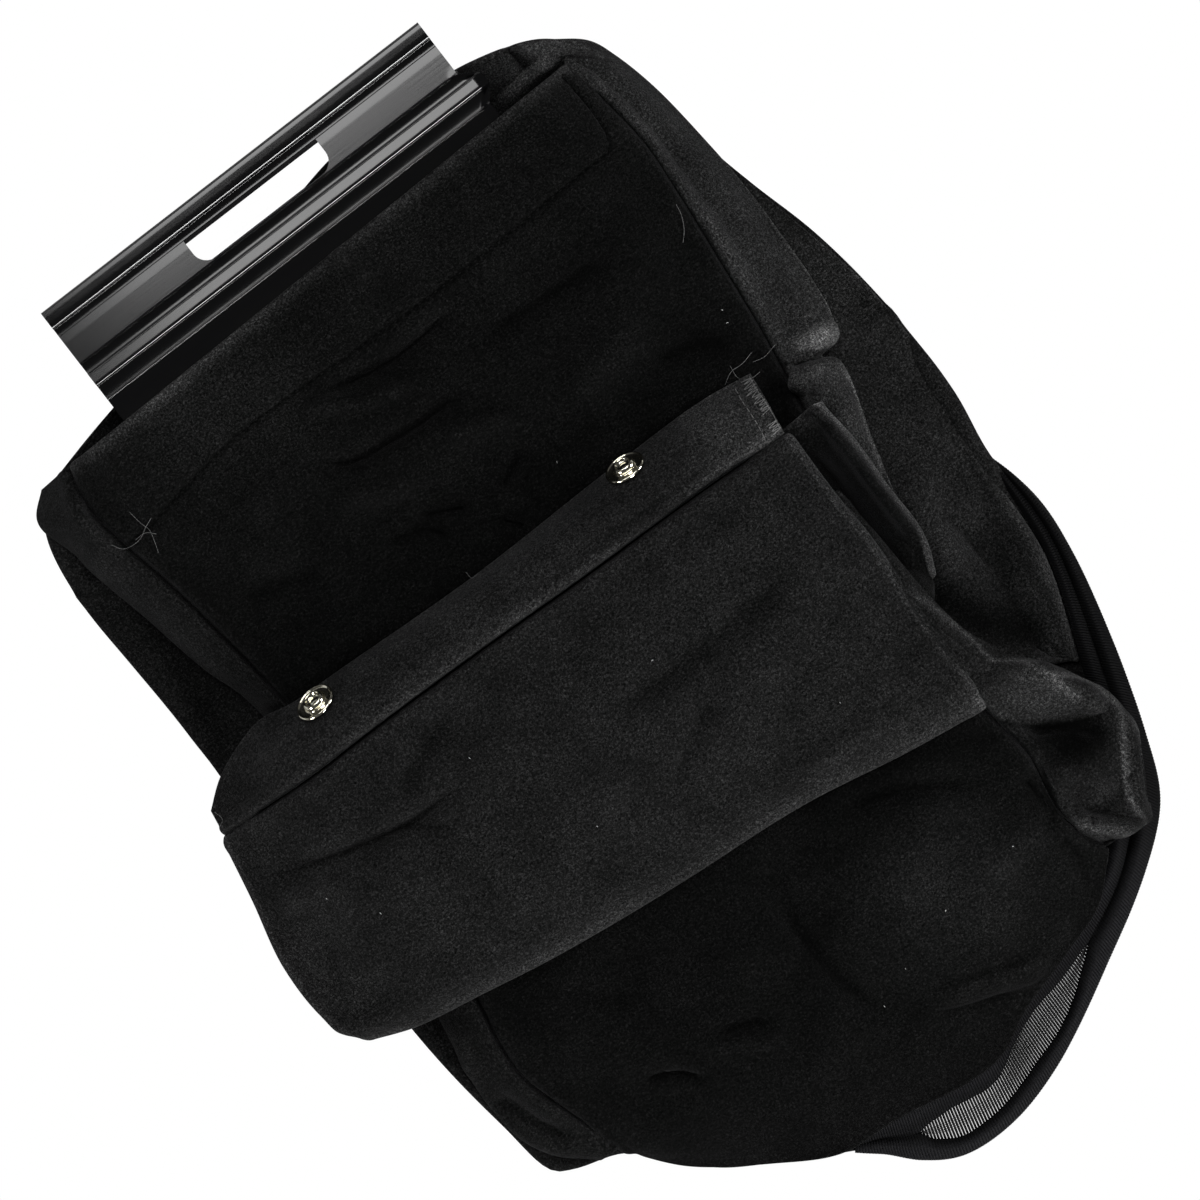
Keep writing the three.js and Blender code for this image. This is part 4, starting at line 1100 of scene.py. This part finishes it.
def window_edges(surface):
    """Where the window's two edges cross the rim: a function from v to two u, equal beyond the tips."""
    v, u = np.meshgrid(np.linspace(0, 0.6, 900), np.linspace(0, 1, 120), indexing="ij")
    p = surface(u, v)
    edges = []
    for line in (WINDOW_LOW, WINDOW_HIGH):
        dense, _ = plan_curve(photo_line(line), 12)
        found = []
        for x, y, _ in dense:
            k = np.argmin((p[..., 0] - x) ** 2 + (p[..., 1] - y) ** 2)
            found.append((v.flat[k], u.flat[k]))
        found.sort()
        edges.append(np.array(found))
    first = max(edge[0, 0] for edge in edges)
    last = min(edge[-1, 0] for edge in edges)

    def crossings(t):
        u = [np.interp(t, edge[:, 0], edge[:, 1]) for edge in edges]
        return np.minimum(*u), np.maximum(*u)

    tips = [sum(crossings(t)) / 2 for t in (first, last)]

    def pair(t):
        inside = ease(t, first, first + WINDOW_TIP) * (1 - ease(t, last - WINDOW_TIP, last))
        middle = np.interp(t, [first, last], tips)
        return [middle + (u - middle) * inside for u in crossings(t)]

    return pair, first, last


def rim_cloth(surface, pair, first, last):
    """Ribbed cloth in two strips that part around the window, each rounded across like a folded hem."""
    ribs = int(RIM_LENGTH / RIB_PITCH)
    v = np.linspace(0, 1, ribs * 4 + 1)[:, None]
    low, high = pair(v)
    across = np.linspace(0, 1, 12)[None, :]
    rib = np.cos(2 * math.pi * ribs * v)
    wave = RIB_HEIGHT * (0.5 + 0.5 * rib)
    # Painted light on the rib crests and painted shade in the troughs, and painted shade over the rim's far
    # end from about halfway along
    rib_and_end_shade = (0.55 + 0.45 * rib) * (1 - 0.75 * ease(v, 0.46, 0.58))
    ends = ease(np.minimum(v, 1 - v), 0, 0.05)
    grids, rim_shading = [], []
    outer_strip = (low * across, 3.4, across, 0.85)
    inner_strip = (high + (1 - high) * across, 2.2, 1 - across, 0.5)
    for u, swell, to_window, window_shade in (outer_strip, inner_strip):
        p = surface(u, np.broadcast_to(v, u.shape))
        # Painted shade in the valley beside the window, on both strips
        rim_shading.append((rib_and_end_shade * (1 - window_shade * bell(1 - to_window, 0.32))).ravel())
        n = grid_normals(p)
        rolled = swell * np.sin(math.pi * across) ** 0.8 + 0.5 * np.cos(math.pi * across * 3)
        slack = 0.9 * value_noise(p[..., 0] / 26, p[..., 1] / 26, 121)
        grids.append(p + (wave + ends * (rolled + slack) * np.sin(math.pi * across) ** 0.3)[..., None] * n)
    piece, kept = welded_shell("woven_rim", *joined_grids(grids), WOVEN)
    set_painted_shading(piece, np.tile(np.concatenate(rim_shading)[kept], 2))
    finish_piece(piece, "rim_cloth", RIBBED)
    net = window_net(surface, pair, first, last)
    declare_sheet(np.concatenate(grids, axis=1))
    return piece


def tube(verts, quads, points, radius, sides=6):
    """Appends a round tube along points to the lists of a mesh, with closed ends."""
    p = np.asarray(points, float)
    tangent = np.gradient(p, axis=0)
    tangent /= np.maximum(np.linalg.norm(tangent, axis=1, keepdims=True), 1e-9)
    helper = np.where(np.abs(tangent[:, 2:3]) < 0.9, [[0, 0, 1.0]], [[1.0, 0, 0]])
    side = np.cross(tangent, helper)
    side /= np.linalg.norm(side, axis=1, keepdims=True)
    up = np.cross(side, tangent)
    angle = np.linspace(0, 2 * math.pi, sides, endpoint=False)
    start = sum(len(block) for block in verts)
    radii = np.broadcast_to(radius, len(p))[:, None, None]
    ring = p[:, None] + radii * (np.cos(angle)[None, :, None] * side[:, None]
                                 + np.sin(angle)[None, :, None] * up[:, None])
    verts.append(ring.reshape(-1, 3))
    for k in range(len(p) - 1):
        for s in range(sides):
            e = (s + 1) % sides
            quads.append((start + k * sides + s, start + k * sides + e,
                          start + (k + 1) * sides + e, start + (k + 1) * sides + s))
    half = sides // 2
    for base, order in ((start, 1), (start + (len(p) - 1) * sides, -1)):
        for k in range(half - 1):
            quads.append(tuple(base + q for q in (k, sides - 1 - k, sides - 2 - k, k + 1))[::order])


def thread_piece(name, strands, material):
    """Threads as closed round strands in one piece. A strand is its points and radius in millimetres."""
    verts, quads = [], []
    for points, radius in strands:
        tube(verts, quads, points, radius)
    piece = mesh_object(name, np.vstack(verts), quads)
    piece.data.materials.append(material)
    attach(piece, "root")
    return piece


def window_net(surface, pair, first, last):
    """Fine cross bars of the net in line with the ribs, and threads along its middle."""
    strands = []
    bars = int((last - first) * RIM_LENGTH / NET_PITCH)
    for t in np.linspace(first, last, bars):
        low, high = pair(np.array(t))
        us = np.linspace(low - 0.09, high + 0.09, 7)
        p = surface(us, np.full(7, t))
        p[:, 2] -= GAP + 0.1
        strands.append((p, NET_BAR))
    for share in (0.32, 0.4, 0.48, 0.56, 0.64):
        ts = np.linspace(first + 0.004, last - 0.004, 90)
        low, high = pair(ts)
        p = surface(low + (high - low) * share, ts)
        p[:, 2] += 0.2
        strands.append((p, NET_THREAD))
    piece = thread_piece("window_net", strands, BLACK_THREAD)
    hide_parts("mesh_window")
    return piece


# Press studs

def frame_on(surface, place, lift):
    """Where a stud sits: a matrix in metres whose Z points out of the cloth."""
    u, v = place
    step = 0.004

    def at(a, b):
        return surface(np.array(a), np.array(b))

    across = at(u + step, v) - at(u - step, v)
    down = at(u, v + step) - at(u, v - step)
    out = Vector(np.cross(down, across)).normalized()
    centre = at(u, v) + np.array(out) * lift
    turn = Vector((0, 0, 1)).rotation_difference(out).to_matrix().to_4x4()
    return Matrix.Translation(Vector(centre * MM + SHIFT)) @ turn


def turned(name, profile, matrix, segments=64):
    mesh = bpy.data.meshes.new(name)
    bm = bmesh.new()
    rings = []
    for radius, height in profile:
        if radius < 1e-6:
            rings.append([bm.verts.new(matrix @ Vector((0, 0, height * MM)))])
            continue
        ring = []
        for k in range(segments):
            a = 2 * math.pi * k / segments
            spot = Vector((radius * math.cos(a) * MM, radius * math.sin(a) * MM, height * MM))
            ring.append(bm.verts.new(matrix @ spot))
        rings.append(ring)
    for low, high in zip(rings, rings[1:]):
        for k in range(segments):
            e = (k + 1) % segments
            corners = [low[k % len(low)], low[e % len(low)], high[e % len(high)], high[k % len(high)]]
            unique = list(dict.fromkeys(corners))
            if len(unique) > 2:
                bm.faces.new(unique)
    bmesh.ops.recalc_face_normals(bm, faces=bm.faces)
    for face in bm.faces:
        face.smooth = True
    bm.to_mesh(mesh)
    bm.free()
    return add_object(name, mesh)


def rounded(profile, cuts):
    """A turned profile with its corners eased by Chaikin cuts, ends kept."""
    points = [np.array(q, float) for q in profile]
    for _ in range(cuts):
        softer = [points[0]]
        for a, b in zip(points, points[1:]):
            softer += [a * 0.75 + b * 0.25, a * 0.25 + b * 0.75]
        points = softer + [points[-1]]
    return [tuple(q) for q in points]


# Where the studs sit, as shares along and down the band
STUD_PLACES = {"left": (0.235, 0.25), "right": (0.78, 0.2)}
STUD_SEAT = 0.9
SHANK_LENGTH = 2.0


def press_stud(side):
    where = frame_on(band_surface(), STUD_PLACES[side], FELT + STUD_SEAT)
    shank = FELT + STUD_SEAT + SHANK_LENGTH
    profile = [(0, -shank), (2.4, -shank), (2.4, -0.1), (12.8, -0.1), (13.1, 0.5), (12.7, 1.5), (11.7, 1.6),
               (11.1, 0.9), (8.2, 0.7), (7.5, 0.8), (7.1, 3.2), (6.2, 4.4), (5.0, 4.3), (4.4, 2.8),
               (3.4, 2.2), (1.6, 2.6), (0, 2.7)]
    piece = turned(f"{side}_stud_bright", rounded(profile, 2), where)
    finish_piece(piece, f"{side}_stud", NICKEL)


# Stitching and loose ends

def surface_finder(pieces):
    """A function from x and y in millimetres to the height of the topmost cloth, or None beside the cloth."""
    trees = []
    for piece in pieces:
        bm = bmesh.new()
        bm.from_mesh(piece.data)
        trees.append(BVHTree.FromBMesh(bm))
        bm.free()

    def find(x, y):
        start = Vector((x * MM + SHIFT[0], y * MM + SHIFT[1], 0.5))
        hits = [tree.ray_cast(start, Vector((0, 0, -1)))[0] for tree in trees]
        return max(((hit.z - SHIFT[2]) / MM for hit in hits if hit is not None), default=None)

    return find


def laid(find, points, lift):
    """Points in plan laid on the cloth, without those that lie beside it."""
    found = [(x, y, find(x, y)) for x, y in points]
    return [(x, y, z + lift) for x, y, z in found if z is not None]


# Where a stitch's points lie along it, as shares of its length, and how they dip into the cloth
STITCH_SHARES = (-0.5, -0.25, 0, 0.25, 0.5)
STITCH_DIPS = (-0.5, 0.0, 0.12, 0.0, -0.5)


def running_stitch(find, line, pitch, length, radius, lift):
    curve = plan_curve(line, 40)
    total = np.linalg.norm(np.diff(curve[0], axis=0), axis=1).sum()
    strands = []
    for k in range(int(total / pitch)):
        middle = (k + 0.5) * pitch
        spots = [along(curve, np.array((middle + share * length) / total)) for share in STITCH_SHARES]
        found = laid(find, [spot[:2] for spot in spots], lift)
        if len(found) == len(STITCH_DIPS):
            strands.append(([(x, y, z + dip) for (x, y, z), dip in zip(found, STITCH_DIPS)], radius))
    return strands


def stitching(find):
    strands = running_stitch(find, HEM_STITCH, 6.0, 3.6, 0.35, -0.3)
    thread_piece("hem_stitches", strands, BLACK_THREAD)


SERGED_LOOPS = 17
THREAD_LIFT = 0.35


def serged_end(find):
    """The overlocked end of the band: looped grey thread and a straight seam beside it."""
    right = [(154, 51), (152.5, 42), (152, 35), (151, 25), (149, 15)]
    curve = plan_curve(right, 30)
    zigzag = []
    for k in range(SERGED_LOOPS * 2 + 1):
        q = along(curve, np.array(k / (SERGED_LOOPS * 2)))
        inward = rng.uniform(0.3, 1.0) if k % 2 else rng.uniform(5.5, 8.5)
        x, y = q[0] - inward, q[1] + rng.uniform(-0.5, 0.5)
        zigzag += laid(find, [(x, y)], THREAD_LIFT)
    straight = plan_curve([(x - 1.4, y) for x, y in right], 8)[0][:, :2]
    strands = [(smooth_curve(zigzag, 6)[0], 0.24), (laid(find, straight, THREAD_LIFT), 0.16)]
    strands += running_stitch(find, [(x - 12.5, y) for x, y in right], 4.4, 3.2, 0.22, 0.25)
    thread_piece("serged_end", strands, GREY_THREAD)


# Stray threads and specks of lint, in photograph pixels
LOOSE_THREADS = [
    [(725, 385), (731, 372), (742, 364), (752, 352)],
    [(730, 366), (738, 378), (750, 379), (760, 372)],
    [(753, 362), (764, 357), (775, 345)],
    [(676, 205), (681, 215), (684, 230), (683, 243)],
    [(214, 812), (222, 820), (217, 831)],
    [(466, 572), (472, 578), (478, 574)],
    [(130, 512), (141, 523), (150, 530), (155, 541), (159, 553)],
    [(152, 518), (146, 528), (140, 540), (124, 549), (112, 545)],
    [(136, 540), (146, 533), (157, 534)],
]
LINT_SPOTS = [(597, 825), (722, 310), (727, 323), (945, 910), (327, 898), (470, 757), (839, 702), (160, 1150),
              (1012, 846), (557, 462), (905, 968), (652, 660), (381, 912), (884, 1006), (780, 196)]


def loose_ends(find):
    strands = []
    for line in LOOSE_THREADS:
        dense, _ = plan_curve(photo_line(line), 6)
        strands.append((laid(find, dense[:, :2], 0.5), 0.11))
    thread_piece("loose_threads", [s for s in strands if len(s[0]) > 2], GREY_THREAD)
    flecks = []
    for px, py in LINT_SPOTS:
        x, y = photo_spot(px, py)
        if find(x, y) is None:
            continue
        angle, size = rng.uniform(0, math.pi), rng.uniform(0.25, 0.7)
        plan = [(x + size * t * math.cos(angle), y + size * t * math.sin(angle) + 0.3 * math.cos(3 * t))
                for t in (-1, -0.3, 0.4, 1)]
        found = laid(find, plan, 0.3)
        if len(found) == len(plan):
            flecks.append((found, rng.uniform(0.12, 0.24)))
    thread_piece("lint", flecks, LINT)


# The handle: one wall of moulded plastic, with a channel, a ridge, a web with the hand slot, and a bead

HANDLE_Z = MOUTH_HEIGHT - 3.0
HANDLE_WALL = 2.4
SHARP_ANGLE = math.radians(38)
SLOT_X = (-66.0, 34.0)
SLOT_Y = (303.0, 322.5)
SLOT_CORNER = 10.0
WEB_END = 125.0
RIDGE_END = 137.0
FLANGE_END = 130.0
FLARE_HEIGHT = 1.6
FLARE_LENGTH = 6.0
CORNER_REACH = 0.3

# The top face across the handle, as distance to the mouth and height: flange, channel with its small ridge,
# ridge with a steep side and a gentle one, strip, web, groove and bead
HANDLE_PROFILE = [
    (FLANGE_FOOT, 2.4), (254.6, 2.4), (256.5, 1.3), (274.9, 1.3), (275.1, 1.8), (276.3, 1.8), (276.5, 1.3),
    (285.1, 1.3), (285.7, 7.1), (286.5, 7.6), (288.4, 7.47), (290.4, 7.2), (292.4, 6.86), (293.8, 6.56),
    (294.5, 5.6), (295, 1.3), (300.9, 1.3), (301.3, 3.2), (302.2, 3.4), (322.4, 2.2), (322.9, 0.8),
    (327.9, 0.8), (328.5, 5.9), (329.6, 6.9), (333, 6.8), (336, 6.67), (339, 6.53), (340, 5.2),
]


def eased(points, reach, steps=4):
    """A line whose corners become small curves that start at most reach from the corner."""
    p = np.asarray(points, float)
    result = [p[0]]
    for before, corner, after in zip(p, p[1:], p[2:]):
        start = corner + (before - corner) * min(0.45, reach / np.linalg.norm(before - corner))
        end = corner + (after - corner) * min(0.45, reach / np.linalg.norm(after - corner))
        for t in np.linspace(0, 1, steps):
            result.append((1 - t) ** 2 * start + 2 * t * (1 - t) * corner + t ** 2 * end)
    return np.array([*result, p[-1]])


handle_section = eased(HANDLE_PROFILE, CORNER_REACH)


def handle_top(y):
    return np.interp(y, handle_section[:, 0], handle_section[:, 1])


def handle_end(y):
    """Where the handle stops on the right: the ridge reaches furthest."""
    return np.interp(y, [281.5, 285.5, 293.5, 301.5], [FLANGE_END, RIDGE_END, RIDGE_END, WEB_END])


def handle():
    """The handle as rows of points across it: at the slot's ends they stand closer and follow its corners."""
    length = WEB_END - HANDLE_LEFT
    left, right = ((x - HANDLE_LEFT) / length for x in SLOT_X)
    bend = SLOT_CORNER * (1 - np.cos(np.linspace(0, math.pi / 2, 9))) / length
    before_slot = np.linspace(0, left, 9)
    at_slot = np.concatenate([left + bend, np.linspace(left, right, 12)[3:-3], right - bend[::-1]])
    after_slot = np.concatenate([np.linspace(right, 0.96, 8), np.linspace(0.965, 1, 8)])
    stations = np.concatenate([before_slot, at_slot[1:-1], after_slot])

    def row(s, ys):
        end = handle_end(ys)
        x = HANDLE_LEFT + s * (end - HANDLE_LEFT)
        flare = FLARE_HEIGHT * ease(x, end - FLARE_LENGTH, end)
        flare = flare * ease(ys, 262, 268) * (1 - ease(ys, 298, 304))
        return np.stack([x, ys, HANDLE_Z + handle_top(ys) + flare], -1)

    def slot_foot(s):
        x = HANDLE_LEFT + s * length
        inset = SLOT_CORNER - min(x - SLOT_X[0], SLOT_X[1] - x, SLOT_CORNER)
        return SLOT_Y[0] + 0.05 + SLOT_CORNER - math.sqrt(max(SLOT_CORNER ** 2 - inset ** 2, 0))

    def rounded_edge(line):
        turned_down = np.array([(0, 0.45, -1.0), (0, 0.25, -2.4), (0, -0.8, -3.6)])
        return np.vstack([line, line[-1] + turned_down])

    ys = handle_section[:, 0]
    foot = np.append(ys[ys < SLOT_Y[0]], SLOT_Y[0])
    web = np.linspace(*SLOT_Y, 8)
    bead = np.insert(ys[ys > SLOT_Y[1]], 0, SLOT_Y[1])
    parts = ([row(s, foot) for s in stations],
             [row(s, web) for s in before_slot],
             [row(s, np.linspace(SLOT_Y[0], slot_foot(s), 8)) for s in at_slot],
             [row(s, web) for s in after_slot],
             [rounded_edge(row(s, bead)) for s in stations])
    grids = [np.array(rows) for rows in parts]
    piece, _ = welded_shell("moulded_handle", *joined_grids(grids), HANDLE_WALL, outward=0.0)
    piece.data.set_sharp_from_angle(angle=SHARP_ANGLE)
    finish_piece(piece, "bag_handle", PLASTIC)


# The CAD nodes that stay as they are

def dress_nodes():
    for side in ("left", "right"):
        for piece in ("stud_backing", "socket", "socket_cap"):
            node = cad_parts[f"{side}_{piece}"]
            node.data.materials.clear()
            node.data.materials.append(NICKEL)


camera()
floor()
lights()
rim_surface = patch(RIM_OUTER, RIM_INNER)
window_pair, window_start, window_end = window_edges(rim_surface)
cloth = [
    back(), rim_cloth(rim_surface, window_pair, window_start, window_end), right_side(), upper_left_gusset(),
    upper_right_gusset(), lower_left_gusset(), lower_right_gusset(), upper_front(), lower_front(),
    sleeve_back(), sleeve_front(), snap_band(),
]
pocket_facing()
socket_band()
handle()
for stud_side in ("left", "right"):
    press_stud(stud_side)
top_of_cloth = surface_finder(cloth)
stitching(top_of_cloth)
serged_end(top_of_cloth)
loose_ends(top_of_cloth)
dress_nodes()

bpy.context.scene.view_settings.view_transform = "Standard"
